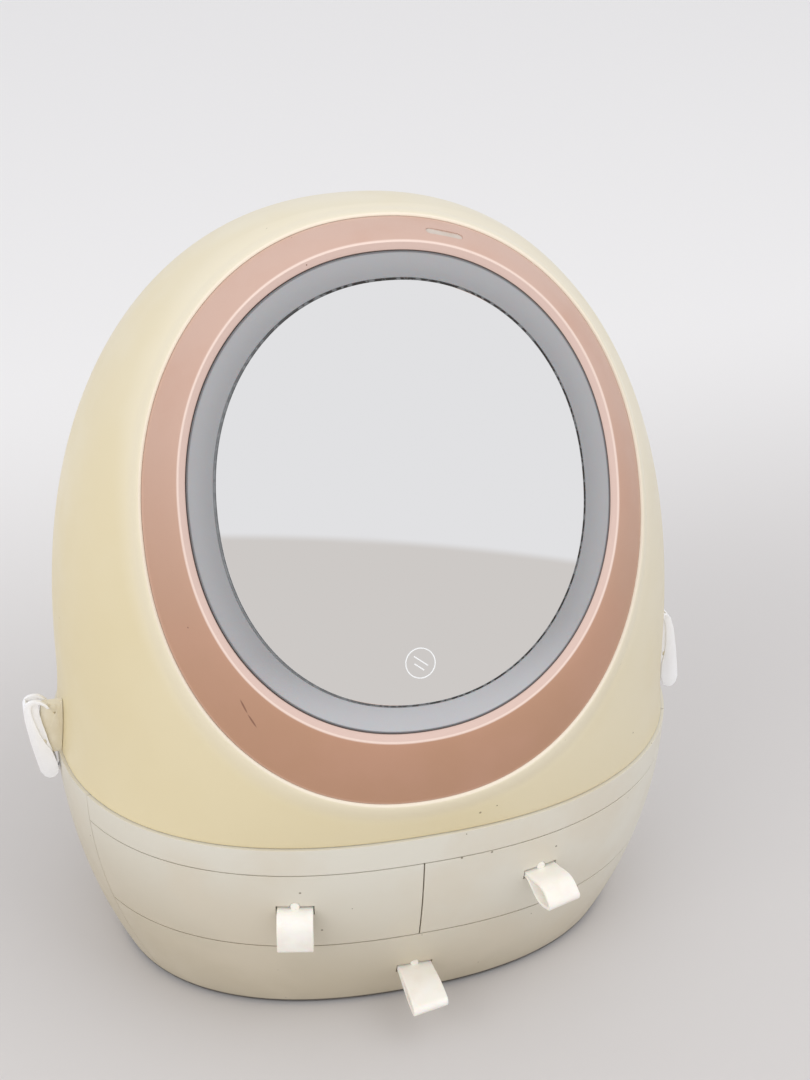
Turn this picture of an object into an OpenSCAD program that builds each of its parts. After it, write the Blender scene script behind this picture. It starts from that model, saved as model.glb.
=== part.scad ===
// Egg-shaped vanity box: a hood with a lit oval mirror lifts off a base with three drawers.
// +X is the right-hand side seen from the front, -Y is the front, +Z is up and z = 0 is the table.

/* [Base] */
// Width of the base at its rim
rim_w = 300; // [296:1:304]
// Depth of the base at its rim
rim_d = 243; // [240:1:246]
// Height of the rim above the table
rim_z = 111; // [110:1:113]
// Width of the base where it meets the table
foot_w = 250; // [246:1:254]
// Depth of the base where it meets the table
foot_d = 190; // [187:1:193]
// Squareness of the plan at the rim, where 2 is an ellipse
plan_power = 2.35; // [2.3:0.05:2.4]
// Wall of the base, drawer fronts and hood
wall = 3; // [2.6:0.1:3]

/* [Drawers] */
// Height of the line between the upper and the lower drawers
split_z = 50.4; // [49:0.2:52]
// Height of the fixed band under the rim
band_h = 14; // [12:0.5:15]
// Distance from the middle of the plan to the seam where the drawer fronts end
seam_y = 51; // [48:1:54]
// Gap round a drawer front
front_gap = 0.6; // [0.4:0.1:0.8]
// Wall of a drawer tray
tray_wall = 1.8; // [1.6:0.1:2]
// Distance of an upper pull from the middle
pull_x = 58; // [56:1:60]
// Width of a pull strap
strap_w = 17; // [15:0.5:17.5]
// Thickness of a pull strap
strap_t = 1.6; // [1.4:0.1:1.8]

/* [Hood] */
// Height of the top of the hood above the table
hood_top = 366; // [362:1:370]
// Height at which the hood is deepest
waist_z = 147; // [143:1:151]
// Width of the hood at its waist
waist_w = 291.6; // [289:0.2:294]
// Depth of the hood at its waist
waist_d = 248; // [246:1:250]
// Ledge that the base rim leaves outside the hood
ledge = 1.5; // [1.2:0.1:2]
// Distance that the top of the hood leans forward
lean = 8; // [6:1:10]
// Squareness of the plan at the top of the hood
top_power = 2.15; // [2.1:0.05:2.2]

/* [Mirror] */
// Height of the middle of the glass
mirror_z = 263.2; // [262:0.2:264]
// Distance from the middle of the plan forward to the middle of the glass
mirror_y = 82.6; // [82:0.2:84]
// Angle that the glass leans back
mirror_tilt = 22.5; // [22:0.1:23]
// Width of the glass
glass_w = 159.8; // [158:0.2:161]
// Height of the glass
glass_h = 180.4; // [179:0.2:182]
// Width of the light ring round the glass
light_w = 12.2; // [11.6:0.1:12.6]
// Half of the width of the coloured frame
frame_a = 110; // [109:0.5:111]
// Half of the height of the coloured frame
frame_b = 126.8; // [126:0.2:127.4]
// Distance that the middle of the frame lies below the middle of the glass
frame_drop = 9; // [8.5:0.1:9.5]
// Distance from the middle of the glass down to the touch mark
touch_drop = 72.5; // [71:0.5:74]
// Radius of the touch mark
touch_r = 6.7; // [6:0.1:7]
// Number of lamps behind the light ring
lamp_count = 40; // [24:1:48]

/* [Latches] */
// Width of a latch lever
latch_w = 7; // [6.8:0.1:7.4]
// Radius of a latch pin
pin_r = 1.5; // [1.3:0.1:1.6]
// Angle at which the right-hand lever stands open
ajar = 18; // [0:1:18]

/* [Hidden] */

$fn = 48;
big = 600;

// The straps reach further forward than anything reaches back, so the middle of the case lies
// this far behind the middle of the whole
case_y = 8.5;

cream = "#DDD6BE";
yellowed = "#E0D6A8";
pink = "#CFA48E";
ivory = "#F3ECDD";
white = "#F1F1EF";

// Heights in the base
shell_z = 1.6;
plate_z = 2;
plate_top = 4.5;
screw_x = 84;
screw_front = 28;
screw_back = 61;
runner_h = 2.2;
shelf_z = 48.6;
shelf_top = 50.9;
band_z = rim_z - band_h;
ledge_t = 2;
ledge_in = 8;
deck_z = band_z + ledge_t;
deck_top = deck_z + 2.4;
tray_lift = 0.3;
upper_tray_top = 93;
lower_tray_top = 44;

// Extents of the trays and their runners
upper_tray_x = 108;
upper_tray_back = 75;
lower_tray_x = 93;
lower_tray_back = 66;
divider_t = 2.4;
runner_w = 4;
upper_runner_x = [-100, -12, 8, 96];
lower_runner_x = [-72, 68];

// Organiser tray
organiser_in = 14;
organiser_back_h = 34;
organiser_front_h = 20;
organiser_split = 21;
organiser_third = 48;

// Slots for the pulls
upper_slot_z = 75.4;
lower_slot_z = 24.2;
slot_h = 5.6;
strap_pin_r = 1.4;
bead_r = 3.2;
peg_r = 2.1;
lug_t = 2.4;
pin_depth = 12;
strap_out = pin_depth + 1.5;
strap_bend = 5;
strap_fold = 0.9;
tray_gap = 0.12;

// Hood
hood_wall = 2.6;
bell_power = 2.3;
bell_round = 2.27;
lip_h = 5;
lip_t = 2;
lip_gap = 1;

// Depths behind the front of the glass
glass_t = 3;
light_step = 0.8;
light_t = 2.2;
lamp_floor = 20;
frame_floor = 22;
ledge_depth = 24.5;
frame_gap = 0.25;
collar_w = 2.4;
frame_t = 3;
bevel_w = 3.6;
bevel_t = 1.4;
oval_power = 2.125;
seal_w = 1;
screw_r = 1.2;
socket_z = 137;
socket_w = 9;
socket_h = 3.6;
wire_r = 1.2;
wire_z = 120.5;
wire_u = 14;
wire_w = -104;
light_a = glass_w / 2 + light_w;
light_b = glass_h / 2 + light_w;

// Latches, drawn closed on the left-hand side
latch_y = -11;
latch_x = -156.5;
latch_z = 118;
flange_t = 1.6;
web_in = 0.7;
bracket_t = 3.2;

// ---------------------------------------------------------------- shapes and frames

// Puts the case where it belongs in the whole box
module placed() translate([0, case_y, 0]) children();

// Superellipse with half-axes a and b
function plan(a, b, power, count) = [
  for (i = [0 : count - 1])
    let (c = cos(360 * i / count), s = sin(360 * i / count))
      [a * sign(c) * pow(abs(c), 2 / power), b * sign(s) * pow(abs(s), 2 / power)]
];

function at_height(points, y, z) = [for (p = points) [p[0], p[1] + y, z]];

// Closed solid through rings of equally many points, from the lowest ring up
module loft(rings) {
  count = len(rings[0]);
  last = len(rings) - 1;
  sides = [
    for (k = [0 : last - 1], i = [0 : count - 1])
      let (j = (i + 1) % count, low = k * count, high = low + count)
        each [[low + i, high + i, high + j], [low + i, high + j, low + j]]
  ];
  polyhedron(
    points = [for (ring = rings) each ring],
    faces = concat(
      [[for (i = [0 : count - 1]) i]],
      [[for (i = [count - 1 : -1 : 0]) last * count + i]],
      sides
    )
  );
}

// Half-axes of the base at height z: a bowl that meets the rim upright
function bowl(foot, rim, z) = foot + (rim - foot) * (1 - pow(1 - z / rim_z, 2));
function base_a(z) = bowl(foot_w, rim_w, z) / 2;
function base_b(z) = bowl(foot_d, rim_d, z) / 2;

// Solid bowl between two heights, moved in by inset all round
bowl_step = 12;
plan_count = 72;
module bowl_solid(inset, z_low, z_high) {
  steps = ceil((z_high - z_low) / bowl_step);
  loft([
    for (k = [0 : steps])
      let (z = z_low + (z_high - z_low) * k / steps)
        at_height(plan(base_a(z) - inset, base_b(z) - inset, plan_power, plan_count), 0, z)
  ]);
}

// Wall of the bowl between two heights
module bowl_wall(z_low, z_high)
  difference() {
    bowl_solid(0, z_low, z_high);
    bowl_solid(wall, z_low - 1, z_high + 1);
  }

// Flat plate with the plan of the base at height z
module base_plate(inset, z, thickness)
  translate([0, 0, z])
    linear_extrude(thickness)
      polygon(plan(base_a(z) - inset, base_b(z) - inset, plan_power, plan_count));

module front_zone(gap) translate([-big / 2, -big - seam_y - gap, -big / 2]) cube([big, big, big]);
module back_zone() translate([-big / 2, -seam_y, -big / 2]) cube([big, big, big]);

// Half-axis of the hood at height z
function bell(foot, waist, z) =
  z < waist_z
    ? foot + (waist - foot) * (1 - pow(1 - (z - rim_z) / (waist_z - rim_z), 2))
    : waist * pow(max(0, 1 - pow((z - waist_z) / (hood_top - waist_z), bell_power)), 1 / bell_round);
function hood_a(z) = bell(rim_w / 2 - ledge, waist_w / 2, z);
function hood_b(z) = bell(rim_d / 2 - ledge, waist_d / 2, z);
function rise(z) = (z - rim_z) / (hood_top - rim_z);
function hood_y(z) = -lean * pow(rise(z), 2);
function hood_power(z) = plan_power + (top_power - plan_power) * rise(z);

// Solid egg; shrink takes the same wall off its sides and its top
module egg(shrink, count, steps) {
  ka = 1 - shrink / (waist_w / 2);
  kb = 1 - shrink / (waist_d / 2);
  kz = 1 - shrink / (hood_top - rim_z);
  foot = plan(hood_a(rim_z) * ka, hood_b(rim_z) * kb, plan_power, count);
  loft(concat(shrink > 0 ? [at_height(foot, 0, rim_z - 1)] : [], [
    for (k = [0 : steps])
      let (z = rim_z + (hood_top - rim_z) * sin(89 * k / steps))
        let (ring = plan(hood_a(z) * ka, hood_b(z) * kb, hood_power(z), count))
          at_height(ring, hood_y(z), rim_z + (z - rim_z) * kz)
  ]));
}

// Frame whose XY plane is the front of the glass, with +Z out of the mirror
module at_mirror() translate([0, -mirror_y, mirror_z]) rotate([90 - mirror_tilt, 0, 0]) children();

// Point of that frame in the case
function from_mirror(u, w, d) = [
  u,
  -mirror_y + w * sin(mirror_tilt) - d * cos(mirror_tilt),
  mirror_z + w * cos(mirror_tilt) + d * sin(mirror_tilt)
];

// Whether a point is outside the egg
function outside(p) =
  p[2] >= hood_top ||
  pow(abs(p[0]) / hood_a(p[2]), hood_power(p[2]))
    + pow(abs(p[1] - hood_y(p[2])) / hood_b(p[2]), hood_power(p[2])) > 1;

// Depth at which a line square to the glass leaves the egg
function skin_depth(u, w, low = -40, high = 40, turns = 16) =
  let (mid = (low + high) / 2)
    turns == 0
      ? mid
      : outside(from_mirror(u, w, mid))
        ? skin_depth(u, w, low, mid, turns - 1)
        : skin_depth(u, w, mid, high, turns - 1);

module oval(a, b, low, high, drop = 0, count = 72)
  translate([0, -drop, low])
    linear_extrude(high - low)
      polygon(plan(a, b, oval_power, count));

module oval_ring(a, b, width, low, high, drop = 0)
  difference() {
    oval(a, b, low, high, drop);
    oval(a - width, b - width, low - 1, high + 1, drop);
  }

// ---------------------------------------------------------------- base

// Rim with the lip that the hood drops over
module rim_lip() {
  outer_a = hood_a(rim_z) * (1 - hood_wall / (waist_w / 2)) - lip_gap;
  outer_b = hood_b(rim_z) * (1 - hood_wall / (waist_d / 2)) - lip_gap;
  difference() {
    union() {
      translate([0, 0, rim_z - lip_h])
        linear_extrude(2 * lip_h) polygon(plan(outer_a, outer_b, plan_power, plan_count));
      translate([0, 0, rim_z - lip_h])
        linear_extrude(lip_h)
          polygon(plan(rim_w / 2 - wall / 2, rim_d / 2 - wall / 2, plan_power, plan_count));
    }
    translate([0, 0, rim_z - lip_h - 1])
      linear_extrude(2 * lip_h + 2) polygon(plan(outer_a - lip_t, outer_b - lip_t, plan_power, plan_count));
  }
}

// Ledge inside the shell that a plate lies on
module inner_ledge(z)
  difference() {
    base_plate(wall / 2, z, ledge_t);
    base_plate(ledge_in, z - 1, ledge_t + 2);
  }

// The bottom plate is screwed to four tabs of the shell
module screw_places()
  for (x = [-screw_x, screw_x], y = [-screw_front, screw_back]) translate([x, y, 0]) children();

module screw_tabs()
  intersection() {
    for (side = [0, 1], y = [-screw_front, screw_back])
      mirror([side, 0, 0]) translate([screw_x, y - 6, plate_top]) cube([60, 12, ledge_t]);
    base_plate(wall / 2, plate_top, ledge_t);
  }

module base_shell()
  color(cream)
    difference() {
      intersection() {
        union() {
          bowl_wall(shell_z, rim_z);
          rim_lip();
          for (z = [plate_top, shelf_z - ledge_t, deck_z - ledge_t]) inner_ledge(z);
          screw_tabs();
        }
        back_zone();
      }
      screw_places() translate([0, 0, plate_top - 1]) cylinder(r = 1.6, h = 4);
    }

module front_band()
  color(cream)
    intersection() {
      union() {
        bowl_wall(band_z, rim_z);
        rim_lip();
        inner_ledge(band_z);
      }
      front_zone(0);
    }

module bottom_plate()
  color(cream)
    difference() {
      base_plate(wall + 0.6, plate_z, plate_top - plate_z);
      screw_places() {
        translate([0, 0, plate_z - 1]) cylinder(r = 1.6, h = 6);
        translate([0, 0, plate_z - 1]) cylinder(r = 3.1, h = 2.2);
      }
    }

module base_screws()
  color("silver")
    screw_places() {
      translate([0, 0, plate_z]) cylinder(r = 3, h = 1.2);
      translate([0, 0, plate_z + 1]) cylinder(r = 1.5, h = plate_top + ledge_t - plate_z - 1.2);
    }

module feet()
  color("#3A3A3A")
    for (sx = [-1, 1], y = [-58, 50])
      translate([sx * 66, y, 0]) {
        cylinder(r = 8, h = 1.2);
        cylinder(r = 7, h = plate_z);
      }

module middle_shelf() color(cream) base_plate(wall + 0.4, shelf_z, shelf_top - shelf_z);

module top_deck() color(cream) base_plate(wall + 0.4, deck_z, deck_top - deck_z);

module centre_divider()
  color(cream)
    translate([-divider_t / 2, -base_b(shelf_top) + wall + 4, shelf_top])
      cube([divider_t, 2 * base_b(shelf_top) - 2 * wall - 16, deck_z - shelf_top]);

module drawer_runners()
  color(cream) {
    for (x = upper_runner_x) translate([x, -70, shelf_top]) cube([runner_w, 140, runner_h]);
    for (x = lower_runner_x) translate([x, -50, plate_top]) cube([runner_w, 110, runner_h]);
  }

// Open tray on the deck: three compartments in front and two higher ones behind
module organiser_tray()
  color(cream)
    difference() {
      translate([0, 0, deck_top]) linear_extrude(organiser_back_h) organiser_plan(0);
      translate([0, 0, deck_top + tray_wall])
        linear_extrude(organiser_back_h)
          intersection() {
            organiser_plan(tray_wall);
            union() {
              compartment(-big, -tray_wall / 2, organiser_split, big);
              compartment(tray_wall / 2, big, organiser_split, big);
              compartment(-big, -organiser_third - tray_wall, -big, organiser_split - tray_wall);
              compartment(-organiser_third, organiser_third, -big, organiser_split - tray_wall);
              compartment(organiser_third + tray_wall, big, -big, organiser_split - tray_wall);
            }
          }
      translate([-big / 2, organiser_split - tray_wall - big, deck_top + organiser_front_h])
        cube([big, big, big]);
    }

module organiser_plan(inset)
  polygon(plan(rim_w / 2 - organiser_in - inset, rim_d / 2 - organiser_in - inset, plan_power, plan_count));

module compartment(x_low, x_high, y_low, y_high)
  translate([x_low, y_low]) square([x_high - x_low, y_high - y_low]);

// Catch between the sides of the lever, on the side of the base: a ramp with a small step
catch_profile = [[0, 0], [3.2, 0], [3.2, 3.3], [0.6, 0.9], [0, 1.5]];
catch_w = 2.6;
module catch()
  translate([-base_a(100) - 2.95, latch_y + catch_w / 2, 100.3])
    rotate([90, 0, 0]) linear_extrude(catch_w) polygon(catch_profile);
module left_catch() color(white) catch();
module right_catch() color(white) mirror([1, 0, 0]) catch();

// ---------------------------------------------------------------- drawers

// Drawer front cut out of the bowl
module drawer_skin(z_low, z_high)
  intersection() {
    bowl_wall(z_low, z_high);
    front_zone(front_gap / 2);
  }

// Tray that follows the back of its front
module tray(x_low, x_high, y_high, z_low, z_high)
  difference() {
    intersection() {
      bowl_solid(wall + tray_gap, z_low, z_high);
      translate([x_low, -big / 2, 0]) cube([x_high - x_low, big / 2 + y_high, big]);
    }
    intersection() {
      bowl_solid(wall + tray_gap + tray_wall, z_low + tray_wall, z_high + 1);
      translate([x_low + tray_wall, -big / 2, 0])
        cube([x_high - x_low - 2 * tray_wall, big / 2 + y_high - tray_wall, big]);
    }
  }

// Height of the front surface: how far forward it lies at x and z
function front_y(x, z) = -base_b(z) * pow(1 - pow(abs(x) / base_a(z), plan_power), 1 / plan_power);

// How far the front surface turns away from the front there
function front_turn(x, z) =
  let (share = abs(x) / base_a(z))
    sign(x) * atan(base_b(z) / base_a(z) * pow(share, plan_power - 1)
      * pow(1 - pow(share, plan_power), 1 / plan_power - 1));

// Frame at a slot, square to the front surface
module at_slot(x, z) translate([x, front_y(x, z), z]) rotate([0, 0, front_turn(x, z)]) children();

// Slot for a strap, with a round notch for the strap's peg in the front
module pull_slot(x, z)
  at_slot(x, z) {
    translate([-strap_w / 2 - 0.5, -10, -slot_h / 2]) cube([strap_w + 1, 24, slot_h]);
    translate([0, 3, slot_h / 2]) rotate([90, 0, 0]) cylinder(r = peg_r + 0.2, h = 10);
  }

module strap_pin(x, z)
  at_slot(x, z)
    translate([0, pin_depth, 0])
      rotate([0, 90, 0]) cylinder(r = strap_pin_r, h = strap_w + 1 + 2 * lug_t, center = true);

module upper_front(side)
  color(cream)
    difference() {
      intersection() {
        drawer_skin(split_z + front_gap / 2, band_z - front_gap);
        translate([side > 0 ? front_gap / 2 : -big - front_gap / 2, -big / 2, 0]) cube([big, big, big]);
      }
      pull_slot(side * pull_x, upper_slot_z);
    }

// Two lugs behind the slot that hold the ends of the pin
module pin_lugs(x, z)
  intersection() {
    at_slot(x, z)
      for (side = [-1, 1])
        translate([side * (strap_w / 2 + 0.5 + lug_t / 2) - lug_t / 2, -6, -bead_r])
          cube([lug_t, pin_depth + bead_r + 6, 2 * bead_r]);
    bowl_solid(wall + tray_gap, z - bead_r - 1, z + bead_r + 1);
  }

module upper_tray(side)
  color(cream)
    difference() {
      union() {
        difference() {
          tray(
            side > 0 ? divider_t / 2 + 0.8 : -upper_tray_x,
            side > 0 ? upper_tray_x : -divider_t / 2 - 0.8,
            upper_tray_back, shelf_top + runner_h + tray_lift, upper_tray_top
          );
          pull_slot(side * pull_x, upper_slot_z);
        }
        pin_lugs(side * pull_x, upper_slot_z);
      }
      strap_pin(side * pull_x, upper_slot_z);
    }

module left_drawer_front() upper_front(-1);
module right_drawer_front() upper_front(1);
module left_drawer_tray() upper_tray(-1);
module right_drawer_tray() upper_tray(1);

module lower_drawer_front()
  color(cream)
    difference() {
      drawer_skin(shell_z, split_z - front_gap / 2);
      pull_slot(0, lower_slot_z);
    }

module lower_drawer_tray()
  color(cream)
    difference() {
      union() {
        difference() {
          tray(
            -lower_tray_x, lower_tray_x,
            lower_tray_back, plate_top + runner_h + tray_lift, lower_tray_top
          );
          pull_slot(0, lower_slot_z);
        }
        pin_lugs(0, lower_slot_z);
      }
      strap_pin(0, lower_slot_z);
    }

// Middle line of a strap, as [forward, up, angle below the horizontal]: straight out of the
// slot, round a bend, and straight again
function mid_line(s, droop) =
  let (
    bend = strap_bend * droop * PI / 180,
    angle = s < strap_out ? 0 : s > strap_out + bend ? droop : (s - strap_out) / strap_bend * 180 / PI,
    rest = max(0, s - strap_out - bend)
  )
    [
      min(s, strap_out) + strap_bend * sin(angle) + rest * cos(angle),
      -strap_bend * (1 - cos(angle)) - rest * sin(angle),
      angle
    ];

// Half of the gap between the two leaves at share u of the loop
function half_gap(u, open) = u <= 0 ? 0 : strap_fold * u + open * pow(sin(180 * pow(u, 1.3)), 1.2);
function round_end(s, length, r) = s < length - r ? 1 : sqrt(max(0, 1 - pow((s - length + r) / r, 2)));

// Outline at distance extra outside the gap, from length s0 to s1 along the middle line
strap_steps = 22;
function strap_outline(s0, s1, length, droop, open, extra) = [
  for (side = [1, -1], k = [0 : strap_steps])
    let (
      share = sin(90 * (side > 0 ? k : strap_steps - k) / strap_steps),
      s = s0 + (s1 - s0) * share,
      m = mid_line(s, droop),
      u = (s - pin_depth - 1) / (length - strap_t - pin_depth - 1),
      half = side * (extra + half_gap(min(1, u), open)) * round_end(s, s1, extra + strap_fold)
    )
      [m[0] + half * sin(m[2]), m[1] + half * cos(m[2])]
];

// A strap is one moulding: a bead round its pin, a neck through the slot, and the loop
module strap(x, z, length, droop, open) {
  total = pin_depth + length;
  color(ivory)
    at_slot(x, z) translate([0, pin_depth, 0]) {
      difference() {
        translate([-strap_w / 2, 0, 0])
          rotate([90, 0, 90])
            linear_extrude(strap_w)
              mirror([1, 0])
                difference() {
                  union() {
                    polygon(strap_outline(0, total, total, droop, open, strap_t));
                    circle(r = bead_r);
                  }
                  polygon(strap_outline(pin_depth + 1, total - strap_t, total, droop, open, 0));
                }
        rotate([0, 90, 0]) cylinder(r = strap_pin_r, h = strap_w + 2, center = true);
      }
      translate([0, 0.8 - pin_depth, slot_h / 2 + 0.1])
        rotate([90, 0, 0]) cylinder(r = peg_r, h = 2.6, center = true);
    }
}

module left_pull_strap() strap(-pull_x, upper_slot_z, 19.5, 90, 1);
module right_pull_strap() strap(pull_x, upper_slot_z, 27.1, 12, 3.1);
module lower_pull_strap() strap(0, lower_slot_z, 32, 13, 1.1);
module left_strap_pin() color("silver") strap_pin(-pull_x, upper_slot_z);
module right_strap_pin() color("silver") strap_pin(pull_x, upper_slot_z);
module lower_strap_pin() color("silver") strap_pin(0, lower_slot_z);

// ---------------------------------------------------------------- hood

// Thin egg, open below and at the mirror. It is one moulding, kept as two pieces that meet at
// the waist, so that each is a simpler shape.
module hood_between(low, high)
  color(yellowed)
    intersection() {
      difference() {
        egg(0, 60, 20);
        egg(hood_wall, 48, 16);
        mirror_opening();
        translate([-socket_w / 2, 0, socket_z]) cube([socket_w, big, socket_h]);
      }
      translate([-big / 2, -big / 2, low]) cube([big, big, high - low]);
    }

module hood_shell() hood_between(waist_z, hood_top + 1);
module hood_skirt() hood_between(rim_z - 1, waist_z);

module mirror_opening() at_mirror() oval(frame_a + frame_gap, frame_b + frame_gap, -frame_floor, 60, frame_drop);

// Collar bonded to the inside of the hood, with the ledge that the mirror frame is screwed to
module mirror_collar()
  color(yellowed)
    difference() {
      intersection() {
        egg(hood_wall, 48, 16);
        at_mirror() oval_ring(frame_a + collar_w, frame_b + collar_w, 10, -ledge_depth, 40, frame_drop);
      }
      mirror_opening();
      at_mirror() hood_screw_places() translate([0, 0, -ledge_depth - 1]) cylinder(r = screw_r + 0.1, h = 6);
    }

// Frame round the light ring, from the bevel by the light out to the skin of the egg
frame_count = 72;
function frame_section(i) =
  let (
    t = 360 * i / frame_count,
    c = cos(t),
    s = sin(t),
    px = sign(c) * pow(abs(c), 2 / oval_power),
    py = sign(s) * pow(abs(s), 2 / oval_power),
    ua = frame_a * px,
    wa = frame_b * py - frame_drop,
    skin = skin_depth(ua, wa),
    inner = [(light_a + 0.2) * px, (light_b + 0.2) * py],
    crest = [(light_a + bevel_w) * px, (light_b + bevel_w) * py],
    rim = [ua, wa],
    back = [(frame_a - frame_t) * px, (frame_b - frame_t) * py - frame_drop],
    between = function (k) crest + (rim - crest) * k
  )
    [
      [inner[0], inner[1], -bevel_t],
      [crest[0], crest[1], 0],
      [between(0.5)[0], between(0.5)[1], skin * 0.36],
      [rim[0], rim[1], skin],
      [rim[0], rim[1], -frame_floor],
      [back[0], back[1], -frame_floor],
      [back[0], back[1], min(skin - frame_t, -frame_t)],
      [inner[0], inner[1], -bevel_t - frame_t]
    ];

// Closed ring through cross-sections of equally many points
module ring_loft(sections) {
  turns = len(sections);
  count = len(sections[0]);
  polyhedron(
    points = [for (section = sections) each section],
    faces = [
      for (k = [0 : turns - 1], i = [0 : count - 1])
        let (j = (i + 1) % count, here = k * count, next = ((k + 1) % turns) * count)
          each [[here + i, here + j, next + j], [here + i, next + j, next + i]]
    ]
  );
}

// Recess in the upper right of the frame, square to its face
insert_at = [29.5, 107.8, -5.7];
insert_turn = -16;
insert_lean = 50;
module insert_place(low, high)
  at_mirror()
    translate(insert_at)
      rotate([0, 0, insert_turn]) rotate([-insert_lean, 0, 0])
        translate([0, 0, low])
          linear_extrude(high - low)
            hull() for (sx = [-1, 1]) translate([6 * sx, 0]) circle(r = 2.3, $fn = 24);

module mirror_frame()
  color(pink)
    difference() {
      at_mirror() ring_loft([for (i = [0 : frame_count - 1]) frame_section(i)]);
      insert_place(-2.8, 8);
    }

module frame_insert() color("#E6D9CF") insert_place(-2.8, -0.8);

module light_diffuser()
  color("#C5C8CA")
    at_mirror() oval_ring(light_a, light_b, light_w - seal_w, -light_step - light_t, -light_step);

module mirror_seal()
  color("#4A4644")
    at_mirror()
      oval_ring(glass_w / 2 + seal_w, glass_h / 2 + seal_w, seal_w, -glass_t, -light_step);

module mirror_glass() color("#D9DCDD") at_mirror() oval(glass_w / 2, glass_h / 2, -glass_t, 0);

// A thin ring with two slanting strokes in it, as [right, up, length]
touch_strokes = [[0.3, 0.9, 7.4], [-0.7, -1.6, 5.1]];
module touch_mark()
  color("white")
    at_mirror()
      translate([0, -touch_drop, 0]) {
        difference() {
          cylinder(r = touch_r, h = 0.2);
          translate([0, 0, -1]) cylinder(r = touch_r - 0.45, h = 2);
        }
        for (stroke = touch_strokes)
          translate([stroke[0], stroke[1], 0.1]) rotate([0, 0, -39]) cube([stroke[2], 0.5, 0.2], center = true);
      }

module touch_pad()
  color("#B8860B")
    at_mirror() translate([0, -touch_drop, -glass_t - 1.2]) cylinder(r = 6, h = 1.2);

// Pan behind the light ring and the glass
module lamp_housing()
  color(white)
    at_mirror()
      difference() {
        union() {
          oval(frame_a - frame_t - 0.4, frame_b - frame_t - 0.4, -frame_floor, -lamp_floor, frame_drop);
          oval_ring(light_a - 0.4, light_b - 0.4, 2, -frame_floor, -light_step - light_t);
          oval_ring(glass_w / 2 - 1, glass_h / 2 - 1, 3, -frame_floor, -glass_t);
        }
        hood_screw_places() translate([0, 0, -ledge_depth]) cylinder(r = screw_r + 0.1, h = 6);
      }

module lamp_board()
  color("#F4F4F0")
    at_mirror() oval_ring(light_a - 2.8, light_b - 2.8, 7.4, -lamp_floor, -lamp_floor + 1.6);

module lamps()
  color("#FFF3B0")
    at_mirror()
      for (i = [0 : lamp_count - 1])
        let (t = 360 * i / lamp_count)
          translate([(light_a - 6.5) * cos(t), (light_b - 6.5) * sin(t), -lamp_floor + 1.6])
            rotate([0, 0, t]) translate([-1.4, -1.75, 0]) cube([2.8, 3.5, 1.2]);

module control_board()
  color("#2F6B45")
    at_mirror() {
      translate([-18, -72, -lamp_floor]) cube([36, 24, 1.6]);
      translate([-6, -64, -lamp_floor + 1.6]) cube([9, 9, 1.4]);
      translate([8, -66, -lamp_floor + 1.6]) cube([6, 4, 3]);
    }

module battery_pack()
  color("#8F979C")
    at_mirror() translate([-25, -20, -lamp_floor]) cube([50, 60, 8]);

// Ring of a tube of radius r about p, square to the way from before to after
function tube_ring(p, before, after, r) =
  let (
    d = (after - before) / norm(after - before),
    n = cross(d, [0, 0, 1]) / norm(cross(d, [0, 0, 1])),
    up = cross(n, d)
  )
    [for (i = [0 : 7]) p + r * (cos(45 * i) * n + sin(45 * i) * up)];

// Point inside the hood wall at angle t and height z, where a wire lies
function along_wall(t, z) =
  let (
    a = hood_a(z) - hood_wall - wire_r - 0.6,
    b = hood_b(z) - hood_wall - wire_r - 0.6,
    c = cos(t),
    s = sin(t)
  )
    [a * sign(c) * pow(abs(c), 2 / plan_power), b * sign(s) * pow(abs(s), 2 / plan_power), z];

// The wire leaves the lamp housing low down, runs round the inside of the hood and comes up to
// the socket at the back
socket_back = hood_b(socket_z) - 9;
wire_route = concat(
  [for (d = [0, 3, 5]) from_mirror(wire_u, wire_w, -frame_floor - d)],
  [[17, -96, 142], [21, -99, 133], [26, -105, 125.5]],
  [for (t = [-72 : 12 : 72]) along_wall(t, wire_z)],
  [[24, 116, 123.5], [13, 114, 131], [4, 112.4, 137], [0, 112.6, 138.8], [0, socket_back, 138.8]]
);
module charging_wire()
  color("#2B2B2B")
    let (last = len(wire_route) - 1)
      loft([
        for (i = [0 : last])
          tube_ring(wire_route[i], wire_route[max(0, i - 1)], wire_route[min(last, i + 1)], wire_r)
      ]);

module charging_socket()
  color("#3A3A3C")
    translate([-socket_w / 2, socket_back, socket_z])
      difference() {
        cube([socket_w, 8.6, socket_h]);
        translate([1, 4, 0.8]) cube([socket_w - 2, 6, socket_h - 1.6]);
      }

module hood_screw_places()
  for (t = [30 : 60 : 330])
    translate([(frame_a - 5.5) * cos(t), (frame_b - 5.5) * sin(t) - frame_drop, 0]) children();

module hood_screws()
  color("silver")
    at_mirror()
      hood_screw_places() {
        translate([0, 0, -ledge_depth - 1.4]) cylinder(r = 2.2, h = 1.4);
        translate([0, 0, -ledge_depth - 0.5]) cylinder(r = screw_r, h = 6);
      }

// ---------------------------------------------------------------- latches

// Side of the hood at height z, at the latch
function hood_side(z) = -hood_a(z) * pow(1 - pow(abs(latch_y) / hood_b(z), plan_power), 1 / plan_power) - 0.12;

// An outline in x and z, drawn out along y from a distance beyond the middle of the latch
module latch_slice(from, width, points)
  translate([0, latch_y + from + width, 0]) rotate([90, 0, 0]) linear_extrude(width) polygon(points);

module latch_axis() translate([latch_x, latch_y, latch_z]) rotate([90, 0, 0]) children();

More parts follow.
